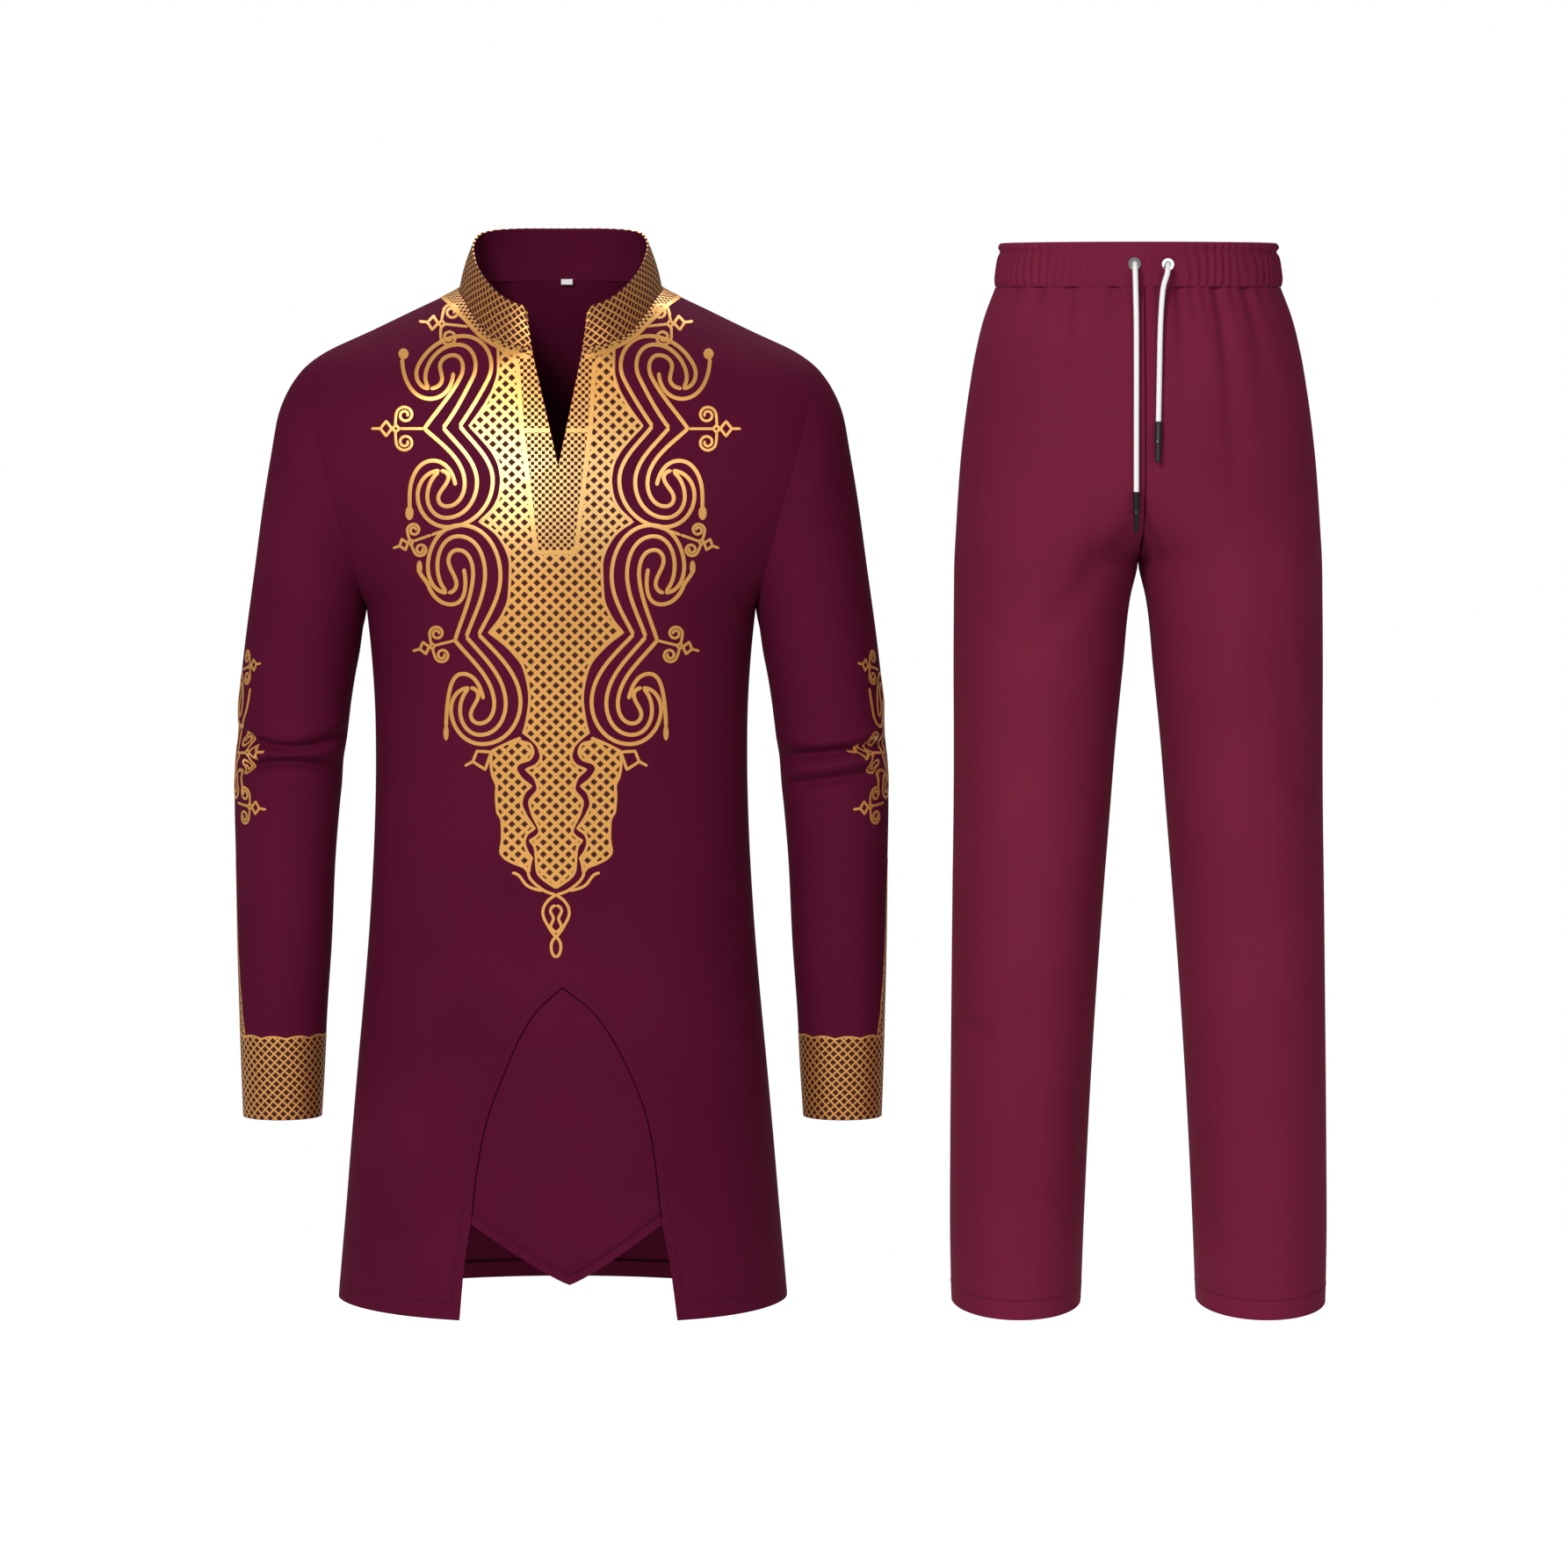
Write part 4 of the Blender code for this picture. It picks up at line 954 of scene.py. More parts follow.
def finial_lines():
    """A finial that points along +across: its stem, two open diamonds, tip and twin spirals."""
    turns = np.linspace(0, 2 * math.pi * SPIRAL["turns"], 64)
    radius = np.linspace(SPIRAL["start"], SPIRAL["end"], 64)
    spiral = (SPIRAL["across"], SPIRAL["down"]) + (radius * (np.cos(turns), np.sin(turns))).T
    spiral = np.concatenate([straight((33, 3.5), (32.6, 11)), spiral])
    return [
        straight((0, 0), (29, 0)),
        straight((28.5, 0), (32.5, 4), (36.5, 0), (32.5, -4), (28.5, 0)),
        straight((37, 0), (43.5, 8.5), (50, 0), (43.5, -8.5), (37, 0)),
        straight((50, 0), (60.5, 0)),
        spiral,
        spiral * (1, -1),
    ]


def placed_finial(across, down, turn, scale, outward):
    """The finial's lines from a place on the plan, pointing outwards and turned down by some degrees."""
    axes = np.array((heading_of(turn), heading_of(turn + 90))) * (outward, 1)
    return [(across, down) + scale * line @ axes for line in finial_lines()]


def scalloped(chains, times=8):
    """An edge of smooth stretches that meet at corners, as half width and distance down."""
    return np.concatenate([finer(chain, times)[:-1] for chain in chains] + [np.array(chains[-1][-1:], float)])


def across_at(edge, down):
    """How far across an edge is at some distances down it."""
    return np.interp(down, edge[:, 1], edge[:, 0])


def ribbon(line, width, rounded=True):
    """The two sides and the middle of a ribbon along a line."""
    tangent = unit(np.gradient(line, axis=0))
    run = lengths_along(line)
    half = np.full(len(line), width / 2)
    if rounded:
        near = np.clip(np.minimum(run, run[-1] - run) / (width / 2), 0, 1)
        half *= np.sqrt(np.maximum(1 - (1 - near) ** 2, 0.08))
    side = np.stack([-tangent[:, 1], tangent[:, 0]], axis=1) * half[:, None]
    return np.stack([line - side, line, line + side], axis=1)


def oval(across, down, half_width, half_length):
    """A filled drop, as rows from one side to the other."""
    turns = np.linspace(-math.pi / 2, math.pi / 2, 9)
    half = half_width * np.maximum(np.cos(turns), 0.06)
    places = across + half[:, None] * (-1, -0.5, 0, 0.5, 1)
    downs = np.repeat((down + half_length * np.sin(turns))[:, None], 5, axis=1)
    return np.stack([places, downs], axis=2)


def cloth_tree(grids):
    """The outer face of the cloth, for laying the print on it."""
    points, faces, count = [], [], 0
    for grid in grids:
        rows, columns = grid.shape[:2]
        index = np.arange(rows * columns).reshape(rows, columns) + count
        count += rows * columns
        points.extend(grid.reshape(-1, 3).tolist())
        quads = np.stack([index[:-1, :-1], index[1:, :-1], index[1:, 1:], index[:-1, 1:]], axis=-1)
        faces.extend(quads.reshape(-1, 4).tolist())
    return BVHTree.FromPolygons(points, faces)


def plan_ray(across, down):
    """The direction in which the viewer sees a point of the plan."""
    x = (PLAN_MIDDLE[0] + across - PICTURE / 2) / FOCAL
    y = (PICTURE / 2 - PLAN_MIDDLE[1] - down) / FOCAL
    return (FORWARD + Vector((x, 0, 0)) + UPWARD * y).normalized()


def seen_on(tree, across, down):
    """Where the viewer sees a point of the plan on the cloth, and the cloth's outward direction there."""
    ray = plan_ray(across, down)
    place, normal, _, _ = tree.ray_cast(Vector(VIEWER), ray)
    if place is None:
        place, _, _, _ = tree.find_nearest(Vector(VIEWER) + ray * ((-0.1 - VIEWER[1]) / ray.y))
        normal = -ray
    return place, normal if normal.dot(ray) < 0 else -normal


def foil_patch(tree, plan, lift=LIFT, crown=0.0):
    """A patch of foil: rows of points of the plan, laid on the cloth as the viewer sees them."""
    rows = []
    for row in plan:
        places = []
        for column, (across, down) in enumerate(row):
            place, normal = seen_on(tree, across, down)
            places.append(place + normal * (lift + (crown if 0 < column < len(row) - 1 else 0)))
        rows.append(places)
    return cloth_patch(np.array(rows), places=plan * (PLAN_UNIT, -PLAN_UNIT))


def both_sides(tree, plan, lift=LIFT, crown=0.0):
    """The same patch on both sides of the middle."""
    return [foil_patch(tree, plan * (mirror, 1), lift, crown) for mirror in (1, -1)]


def filled(inner, outer, downs, columns):
    """Rows from the inner to the outer edge at some distances down."""
    shares = np.linspace(0, 1, columns)
    start, end = across_at(inner, downs), across_at(outer, downs)
    across = start[:, None] + (end - start)[:, None] * shares
    return np.stack([across, np.repeat(np.asarray(downs, float)[:, None], columns, axis=1)], axis=2)


def downs_between(top, bottom, step=2.4):
    return np.linspace(top, bottom, max(3, round((bottom - top) / step) + 1))


def slit_edge(mirror):
    """One edge of the V slit on the plan, mirrored if it is the right one."""
    edge = []
    for z in np.linspace(COLLAR["seam_height"][0], SLIT_TIP, 12):
        x = mirror * slit_half(z) + float(read(HANG, "aside", z))
        seen = Vector((x, float(read(FRONT_LINE, "depth", z)), z)) - Vector(VIEWER)
        across = PICTURE / 2 + FOCAL * seen.x / seen.dot(FORWARD) - PLAN_MIDDLE[0]
        down = PICTURE / 2 - FOCAL * seen.dot(UPWARD) / seen.dot(FORWARD) - PLAN_MIDDLE[1]
        edge.append((across * mirror, down))
    return np.array(edge)


def drawn(tree, lines, width, rounded=True, first=0):
    """Ribbons along lines at both sides, each a layer above the one before."""
    patches = []
    for order, line in enumerate(lines, first):
        patches += both_sides(tree, ribbon(line, width, rounded), LIFT + LAYER * order, CROWN)
    return patches


def scroll_patches(tree):
    """The scroll's lines, finials and buds at both sides of the panel."""
    patches = []
    for row in range(len(COILS["across"])):
        patches += drawn(tree, coil_lines(row), SCROLL_WIDTH)
    for place in rows_of(FINIALS):
        patches += drawn(tree, placed_finial(*place, -1), FINIAL_WIDTH * 0.92)
    patches += drawn(tree, [straight(*FINIAL_STEM)], FINIAL_WIDTH)
    for bud in rows_of(BUDS):
        patches += both_sides(tree, oval(*bud), LIFT + 4 * LAYER)
    return patches


def tail_patches(tree):
    """The fine lines that close the print below the tongue."""
    lines = [pen_line(nodes) for nodes in TAIL_LINES] + [straight(*OPEN_DIAMOND), straight(*DIAMOND_POINT)]
    return drawn(tree, lines, FINIAL_WIDTH)


def panel_patches(tree):
    """The lattice panel beside the placket, below it, and its tongue and side panels."""
    panel = scalloped(PANEL)
    placket = np.array(PLACKET_EDGE, float)
    middle = np.array(((0, -200), (0, 900)), float)
    inner, outer = scalloped(SIDE_PANEL_INNER), scalloped(SIDE_PANEL_OUTER)
    patches = both_sides(tree, filled(placket, panel, downs_between(-94, PLACKET_FOOT), 14))
    patches += both_sides(tree, filled(middle, panel, downs_between(PLACKET_FOOT, 525), 20))
    patches += both_sides(tree, filled(by_down(inner), by_down(outer), downs_between(356, 507), 14))
    return patches


def by_down(edge):
    """The edge's points in order down the plan, as a line that is read by distance down."""
    return edge[np.argsort(edge[:, 1], kind="stable")]


def panel_edges(tree):
    """The plain gold lines along the edges of the panel and the placket."""
    lines = [scalloped(edge) for edge in (PANEL, SIDE_PANEL_INNER, SIDE_PANEL_OUTER)]
    patches = drawn(tree, lines, EDGE_WIDTH, False, 6)
    placket = straight(*(np.array(PLACKET_EDGE[2:]) + (1.2, 0)), step=2.5)
    patches += both_sides(tree, ribbon(placket, 5.2, False), LIFT + 9 * LAYER)
    out, down = PLACKET_EDGE[-1][0] + 2, PLACKET_FOOT + 1
    foot = straight((-out, down), (out, down))
    patches.append(foil_patch(tree, ribbon(foot, 5.5, False), LIFT + 10 * LAYER))
    for mirror in (1, -1):
        start = float(across_at(slit_edge(mirror), PLACKET_BAR)) + 1
        bar = straight((start, PLACKET_BAR), (38, PLACKET_BAR), step=3)
        patches.append(foil_patch(tree, ribbon(bar, 4.6, False) * (mirror, 1), LIFT + 10 * LAYER))
    return patches


def placket_patches(tree):
    """The checked placket round the V slit."""
    patches = []
    for mirror in (1, -1):
        slit = slit_edge(mirror)
        below = ((slit[-1, 0], slit[-1, 1] + 1), (slit[-1, 0], 900))
        slit = np.concatenate([slit + (0.7, 0), below])
        plan = filled(slit, np.array(PLACKET_EDGE, float), downs_between(-94, PLACKET_FOOT), 12)
        patches.append(foil_patch(tree, plan * (mirror, 1)))
    return patches


def neck_band(tree, near, far, lift, columns):
    """A band round the neck below the collar's seam. Near and far are a share of its width and a bit more."""
    patches = []
    seam = collar_line("seam", 7)
    places = np.linspace(0, len(NECK_BAND) - 1, len(seam))
    width = np.interp(places, np.arange(len(NECK_BAND)), NECK_BAND)
    shares = np.linspace(0, 1, columns)
    deep = (near[0] * width + near[1])[:, None] * (1 - shares) + (far[0] * width + far[1])[:, None] * shares
    tangent = np.gradient(seam, axis=0)
    for side in SIDES.values():
        rows = []
        for point, along, reaches in zip(seam * (side, 1, 1), tangent * (side, 1, 1), deep):
            away = Vector(point) - Vector((0, 0, 0.06))
            _, normal, _, _ = tree.find_nearest(Vector(point) + away * 0.06)
            turn = normal.cross(Vector(along)).normalized()
            turn = turn if turn.dot(away) > 0 else -turn
            row = []
            for reach in reaches:
                place, normal, _, _ = tree.find_nearest(Vector(point) + turn * reach)
                normal = normal if normal.dot(place + Vector((0, 0, 0.3))) > 0 else -normal
                row.append(place + normal * lift)
            rows.append(row)
        run = lengths_along(seam)[:, None] * side + np.zeros(columns)
        patches.append(cloth_patch(np.array(rows), places=np.stack([run, -deep], axis=2)))
    return patches


def round_sleeve(grid, along, height, lift):
    """A place on a sleeve this far round from its outer line, towards the front if above 0, at a height."""
    row = float(np.interp(-height, -grid[:, 0, 2], np.arange(len(grid))))
    low = min(int(row), len(grid) - 2)
    ring = grid[low] + (grid[low + 1] - grid[low]) * (row - low)
    run = lengths_along(ring)
    place = np.array([np.interp(along % run[-1], run, ring[:, axis]) for axis in range(3)])
    outward = place - ring[:-1].mean(axis=0)
    outward[2] = 0
    return place + outward / np.linalg.norm(outward) * lift


def sleeve_patch(grid, plan, lift=LIFT, crown=0.0):
    """A patch of foil on a sleeve: rows of points that give the distance round and the height."""
    rows = []
    for row in plan:
        lifts = [lift, *[lift + crown] * (len(row) - 2), lift]
        rows.append([round_sleeve(grid, *place, height) for place, height in zip(row, lifts)])
    return cloth_patch(np.array(rows), np.array(plan))


def length_round(grid, height):
    """The sleeve's length round at some heights."""
    lengths = [lengths_along(ring)[-1] for ring in grid]
    return np.interp(-height, -grid[:, 0, 2], lengths)


def cuff_patches(grid):
    """The lattice round the sleeve's end, with its edge line, and the strip up the outer side."""
    foot = grid[-1, 0, 2] + 0.0004
    turns = np.linspace(-0.5, 0.5, 241)
    count = round(length_round(grid, CUFF_TOP) / SCALLOP["length"])
    top = CUFF_TOP + SCALLOP["rise"] * np.abs(np.sin(math.pi * count * turns))
    heights = top + (foot - top) * np.linspace(0, 1, 16)[:, None]
    lattice = [sleeve_patch(grid, np.stack([turns * length_round(grid, heights), heights], axis=2))]
    top_line = np.stack([turns * length_round(grid, top), top], axis=1)
    downs = np.linspace(STRIP["height"][0], STRIP["height"][-1] - 0.002, 60)
    half = np.array([read(STRIP, "half_width", z) for z in downs])
    half += 0.0012 * np.abs(np.sin((downs - downs[0]) / 0.009)) * np.clip(half / 0.02, 0, 1)
    shares = np.linspace(-1, 1, 15)
    strip = np.stack([half[:, None] * shares, np.repeat(downs[:, None], 15, axis=1)], axis=2)
    lattice.append(sleeve_patch(grid, strip, LIFT * 0.8))
    edges = [sleeve_patch(grid, ribbon(top_line, 0.0016, False), LIFT + 0.0001)]
    for mirror in (1, -1):
        line = np.stack([half * mirror, downs], axis=1)
        edges.append(sleeve_patch(grid, ribbon(line, 0.0014, False), LIFT + 0.00005))
    return lattice, edges


def sleeve_scroll(grid):
    """The scroll down the outer side of a sleeve, the same towards the front and the back."""
    patches = []
    for row, tall in ((1, 1.0), (0, 0.5)):
        for order, line in enumerate(coil_lines(row)[1:]):
            along = np.maximum((-line[:, 0] - 84) * 0.00046, 0.0018)
            height = SLEEVE_CUSP - line[:, 1] * tall * PLAN_UNIT
            for mirror in (1, -1):
                plan = ribbon(np.stack([along * mirror, height], axis=1), 0.0030)
                patches.append(sleeve_patch(grid, plan, LIFT + LAYER * order, CROWN))
    for along, height, turn, scale in rows_of(SLEEVE_FINIALS):
        for order, line in enumerate(placed_finial(0, 0, turn, scale, 1)):
            for mirror in (1, -1):
                plan = ((along, height) + line * (PLAN_UNIT, -PLAN_UNIT)) * (mirror, 1)
                patches.append(sleeve_patch(grid, ribbon(plan, 0.0023), LIFT + LAYER * order, CROWN))
    return patches


def new_material(name):
    made = bpy.data.materials.new(name)
    made.use_nodes = True
    return made, made.node_tree, made.node_tree.nodes["Principled BSDF"]


def feed(tree, socket, value):
    """Sets a socket to a number or colour, or links another node's output to it."""
    if isinstance(value, bpy.types.NodeSocket):
        tree.links.new(value, socket)
    else:
        socket.default_value = (*value, 1) if isinstance(value, tuple) else value


def fill(tree, node, values):
    """Feeds a node's sockets by their names."""
    for title, value in values.items():
        feed(tree, node.inputs[title], value)
    return node.outputs


def maths(tree, operation, *values):
    node = tree.nodes.new("ShaderNodeMath")
    node.operation = operation
    for socket, value in zip(node.inputs, values):
        feed(tree, socket, value)
    return node.outputs["Value"]


def mixed(tree, factor, first, second):
    """A colour between two others."""
    node = tree.nodes.new("ShaderNodeMix")
    node.data_type = "RGBA"
    return fill(tree, node, {"Factor": factor, "A": first, "B": second})["Result"]


def ramped(tree, value, low, high, start, end):
    """A value that goes from start to end as another goes from low to high."""
    numbers = {"Value": value, "From Min": low, "From Max": high, "To Min": start, "To Max": end}
    return fill(tree, tree.nodes.new("ShaderNodeMapRange"), numbers)["Result"]


def noise(tree, vector, scale, detail):
    node = tree.nodes.new("ShaderNodeTexNoise")
    return fill(tree, node, {"Scale": scale, "Detail": detail, "Vector": vector})["Fac"]


def split(tree, vector):
    """A vector's X, Y and Z."""
    return fill(tree, tree.nodes.new("ShaderNodeSeparateXYZ"), {"Vector": vector})


def effect_group(name, inputs, outputs):
    """An empty shader node group with named sockets."""
    group = bpy.data.node_groups.new(name, "ShaderNodeTree")
    for title, kind in inputs.items():
        group.interface.new_socket(title, in_out="INPUT", socket_type=kind)
    for title, kind in outputs.items():
        group.interface.new_socket(title, in_out="OUTPUT", socket_type=kind)
    return group, group.nodes.new("NodeGroupInput").outputs, group.nodes.new("NodeGroupOutput").inputs


def add_effect(tree, group, **values):
    """Places a group in a material, with its own values."""
    node = tree.nodes.new("ShaderNodeGroup")
    node.node_tree = group
    return fill(tree, node, values)


def make_lattice_group():
    """Foil in a slanting lattice, with a diamond hole in each mesh."""
    inputs = {"Vector": VECTOR, "Across": NUMBER, "Down": NUMBER, "Hole": NUMBER}
    group, given, out = effect_group("foil_lattice", inputs, {"Foil": NUMBER})
    parts = split(group, given["Vector"])
    wander = noise(group, given["Vector"], 130, 2)
    across = maths(group, "DIVIDE", parts["X"], given["Across"])
    down = maths(group, "DIVIDE", parts["Y"], given["Down"])
    shift = ramped(group, wander, 0.0, 1.0, -0.055, 0.055)
    sides = []
    for operation in ("ADD", "SUBTRACT"):
        side = maths(group, "ADD", maths(group, operation, across, down), shift)
        side = maths(group, "SUBTRACT", maths(group, "FRACT", side), 0.5)
        sides.append(maths(group, "ABSOLUTE", side))
    edge = maths(group, "MAXIMUM", *sides)
    low = maths(group, "SUBTRACT", given["Hole"], 0.025)
    high = maths(group, "ADD", given["Hole"], 0.025)
    group.links.new(ramped(group, edge, low, high, 0.0, 1.0), out["Foil"])
    return group


def make_checks_group():
    """Foil in small checks, slightly rounded at their corners."""
    inputs = {"Vector": VECTOR, "Across": NUMBER, "Down": NUMBER}
    group, given, out = effect_group("foil_checks", inputs, {"Foil": NUMBER})
    parts = split(group, given["Vector"])
    waves = []
    for axis, size in (("X", "Across"), ("Y", "Down")):
        turn = maths(group, "MULTIPLY", maths(group, "DIVIDE", parts[axis], given[size]), math.pi)
        waves.append(maths(group, "SINE", turn))
    both = maths(group, "MULTIPLY", *waves)
    group.links.new(ramped(group, both, -0.06, 0.14, 1.0, 0.0), out["Foil"])
    return group


def make_grain_group():
    """The weave of smooth cloth: fine threads and slow, cloudy changes of tone."""
    inputs, outputs = {"Thread": VECTOR, "Place": VECTOR}, {"Height": NUMBER, "Tone": NUMBER}
    group, given, out = effect_group("cloth_grain", inputs, outputs)
    fine = noise(group, given["Thread"], 1500, 1)
    loose = noise(group, given["Thread"], 240, 3)
    height = maths(group, "ADD", maths(group, "MULTIPLY", fine, 0.6), maths(group, "MULTIPLY", loose, 0.4))
    group.links.new(height, out["Height"])
    cloud = noise(group, given["Place"], 7, 3)
    group.links.new(ramped(group, cloud, 0.3, 0.7, 0.0, 1.0), out["Tone"])
    return group


def cloth_nodes(name):
    """A new cloth material with its grain placed, and what it reads: its own UV map and its place."""
    made, tree, shader = new_material(name)
    thread = tree.nodes.new("ShaderNodeUVMap")
    thread.uv_map = "cloth"
    place = tree.nodes.new("ShaderNodeTexCoord").outputs["Object"]
    grain = add_effect(tree, GROUPS["grain"], Thread=thread.outputs["UV"], Place=place)
    return made, tree, shader, thread.outputs["UV"], place, grain


def bumped(tree, shader, height, strength, distance):
    bump = {"Strength": strength, "Distance": distance, "Height": height}
    feed(tree, shader.inputs["Normal"], fill(tree, tree.nodes.new("ShaderNodeBump"), bump)["Normal"])


def cloth_material(name, light, dark):
    """Smooth woven cloth with a faint sheen of its own colour."""
    made, tree, shader, _, _, effect = cloth_nodes(name)
    bumped(tree, shader, effect["Height"], 0.25, 0.0002)
    fill(tree, shader, {
        "Base Color": mixed(tree, effect["Tone"], dark, light), "Roughness": 0.7, "Specular IOR Level": 0.02,
        "Sheen Weight": 0.02, "Sheen Roughness": 0.4, "Sheen Tint": (0.8, 0.12, 0.30),
    })
    return made


def foil_material(name, pattern=None, dark=0.0, **sizes):
    """Gold foil pressed on wine cloth, plain or in a pattern, with a painted highlight that makes it paler
    round the slit's tip.
    """
    made, tree, shader, thread, place, effect = cloth_nodes(name)
    foil = 1.0
    if pattern:
        foil = add_effect(tree, GROUPS[pattern], Vector=thread, **sizes)["Foil"]
    parts = split(tree, place)
    # Painted highlight: the foil goes paler near the middle of the chest, where the light falls brightest.
    above = maths(tree, "ABSOLUTE", maths(tree, "SUBTRACT", parts["Z"], PAINTED_HIGHLIGHT_MIDDLE))
    aside = maths(tree, "ABSOLUTE", parts["X"])
    pale = maths(tree, "MULTIPLY", ramped(tree, above, 0.02, PAINTED_HIGHLIGHT_REACH, 0.45, 0.0),
                 ramped(tree, aside, 0.04, 0.12, 1.0, 0.2))
    gold = mixed(tree, pale, DEEP_GOLD, PAINTED_HIGHLIGHT_GOLD)
    # Dark gold mixed in by the cloth's cloudy tone, plus a share given by dark over the whole piece; on the
    # collar that share is painted shade.
    gold = mixed(tree, ramped(tree, effect["Tone"], 0.0, 1.0, dark, dark + 0.22), gold, DARK_GOLD)
    height = maths(tree, "ADD", maths(tree, "MULTIPLY", effect["Height"], 0.5), foil)
    bumped(tree, shader, height, 0.5, 0.00025)
    fill(tree, shader, {
        "Base Color": mixed(tree, foil, GROUND_IN_PRINT, gold),
        "Metallic": ramped(tree, foil, 0.0, 1.0, 0.0, 0.55),
        "Roughness": ramped(tree, foil, 0.0, 1.0, 0.7, 0.38), "Specular IOR Level": 0.25,
    })
    return made


def stitch_material(name, thread, cloth):
    """A row of machine stitches along the piece's own length."""
    made, tree, shader, run, _, _ = cloth_nodes(name)
    share = maths(tree, "FRACT", maths(tree, "DIVIDE", split(tree, run)["X"], STITCH_LENGTH))
    dash = ramped(tree, maths(tree, "ABSOLUTE", maths(tree, "SUBTRACT", share, 0.5)), 0.30, 0.38, 1.0, 0.0)
    bumped(tree, shader, dash, 0.6, 0.0003)
    colour = mixed(tree, dash, cloth, thread)
    fill(tree, shader, {"Base Color": colour, "Roughness": 0.7, "Specular IOR Level": 0.08})
    return made


def body_ribbon(line, width, face, lift):
    """A narrow strip on the tunic's body, along a line of distances across and heights."""
    plan = ribbon(np.asarray(line, float), width, False)
    across, height = plan[..., 0], plan[..., 1]
    half = read(BODY, "half_width", height)
    depth = read(BODY, "front" if face == FRONT else "back", height)
    angle = np.arccos(np.clip(across / half, -1, 1))
    out, away = np.cos(angle), face * np.sin(angle)
    outward = unit(np.stack([out / half, away / depth, np.zeros_like(angle)], axis=-1))
    raised = height + hem_rise(height, np.abs(across) / half)
    places = np.stack([half * out, depth * away, raised], axis=-1) + outward * lift
    return cloth_patch(hung(places, 1), run_along(line))


def run_along(line):
    """UVs for a strip of three columns: how far along its line each row is."""
    run = np.repeat(lengths_along(np.asarray(line, float))[:, None], 3, axis=1)
    return np.stack([run, np.zeros_like(run)], axis=2)


def arch_line(top, bottom, out=0.0):
    """The arch's edge on the wearer's left, or a line at some distance outside it."""
    heights = heights_between(top, bottom, 0.003)
    line = np.stack([read(ARCH, "half_width", heights), heights], axis=1)
    if out:
        sides = ribbon(line, 2 * out, False)
        line = sides[:, 2] if sides[-1, 2, 0] > line[-1, 0] else sides[:, 0]
    return line[line[:, 0] >= 0]


def hem_line(height, start, end):
    """A level line round the hem, from one distance across to another."""
    return np.stack([np.linspace(start, end, 70), np.full(70, height)], axis=1)


def edge_seam(first, second, core):
    """A dark line of painted seam shadow over the joint of two panels, each given as its edge's points and
    those beside them.
    """
    edge = (first[:, 0] + second[:, 0]) / 2
    ways = [unit(panel[:, 1] - panel[:, 0]) * STITCH_WIDTH / 2 for panel in (first, second)]
    outward = unit((edge - (*core, 0)) * (1, 1, 0)) * SEAM_LIFT
    return cloth_patch(np.stack([edge + ways[0], edge, edge + ways[1]], axis=1) + outward[:, None])


def leg_stitches(side, face):
    """The stitched hem of one trouser panel."""
    heights = LEG_HEM + LEG_STITCHES + np.array((0.5, 0.0, -0.5)) * STITCH_WIDTH
    rows = np.stack([leg_row(z, side, face, LEG_COLUMNS) for z in heights], axis=1)
    middle = rows.mean(axis=(0, 1)) * (1, 0, 0)
    rows = rows + unit((rows - middle) * (1, 1, 0)) * (SEAM_LIFT + 0.00005)
    return cloth_patch(rows, run_along(rows[:, 1]))


def plain_material(name, colour, roughness, gloss=0.5):
    made, tree, shader = new_material(name)
    fill(tree, shader, {"Base Color": colour, "Roughness": roughness, "Specular IOR Level": gloss})
    return made


def make_camera():
    """The photograph's view: from in front, looking a little down."""
    bpy.ops.object.camera_add(location=VIEWER)
    camera = bpy.context.object
    aim = Vector(VIEW_AIM) - camera.location
    camera.rotation_euler = aim.to_track_quat("-Z", "Y").to_euler()
    camera.data.lens = LENS
    camera.data.sensor_width = SENSOR
    camera.data.clip_end = 50
    bpy.context.scene.camera = camera


def make_studio():
    """A pale floor in a white room, and soft light."""
    deselect_all()
    bpy.ops.mesh.primitive_plane_add(size=1, location=(0.2, -0.4, -1.40))
    floor = bpy.context.object
    floor.name = "floor"
    floor.scale = (8, 7, 1)
    bpy.ops.object.transform_apply(scale=True, location=True)
    floor.data.materials.append(plain_material("pale_floor", (0.92, 0.92, 0.92), 0.9))
    world = bpy.data.worlds.new("soft_room")
    world.use_nodes = True
    tree = world.node_tree
    seen = tree.nodes.new("ShaderNodeLightPath").outputs["Is Camera Ray"]
    tree.links.new(ramped(tree, seen, 0.0, 1.0, 0.24, 1.0), tree.nodes["Background"].inputs["Strength"])
    tree.nodes["Background"].inputs["Color"].default_value = (1, 1, 1, 1)
    bpy.context.scene.world = world
    lamps = table(
        "x y z size power",
        (-1.5, -4.1, 1.9, 1.1, 150.0),
        (2.3, -4.0, 1.0, 1.6, 34.0),
        (0.2, 2.4, 2.8, 3.0, 260.0),
    )
    for x, y, z, size, power in rows_of(lamps):
        place = Vector((x, y, z))
        bpy.ops.object.light_add(type="AREA", location=place)
        lamp = bpy.context.object
        lamp.data.size = size
        lamp.data.energy = power
        aim = Vector((0.2, 0.0 if place.y < 0 else 4.4, -0.4)) - place
        lamp.rotation_euler = aim.to_track_quat("-Z", "Y").to_euler()
    bpy.context.scene.view_settings.view_transform = "Standard"


def band_face(x, height):
    """The depth of the band's flat face at an eyelet."""
    rows = BAND["height"][::-1]
    half = np.interp(height, rows, BAND["half_width"][::-1])
    depth = np.interp(height, rows, BAND["depth"][::-1])
    return -depth * math.sqrt(1 - ((x - TROUSERS_X) / half) ** 2)


def cloth_depth(x, height):
    """The depth of the band or of the trousers' front, without their folds."""
    if height > WAIST_SEAM:
        return band_face(x, height)
    half = read(LEG, "half_width", height)
    return -read(LEG, "front", height) * math.sqrt(1 - ((x - TROUSERS_X) / half) ** 2)


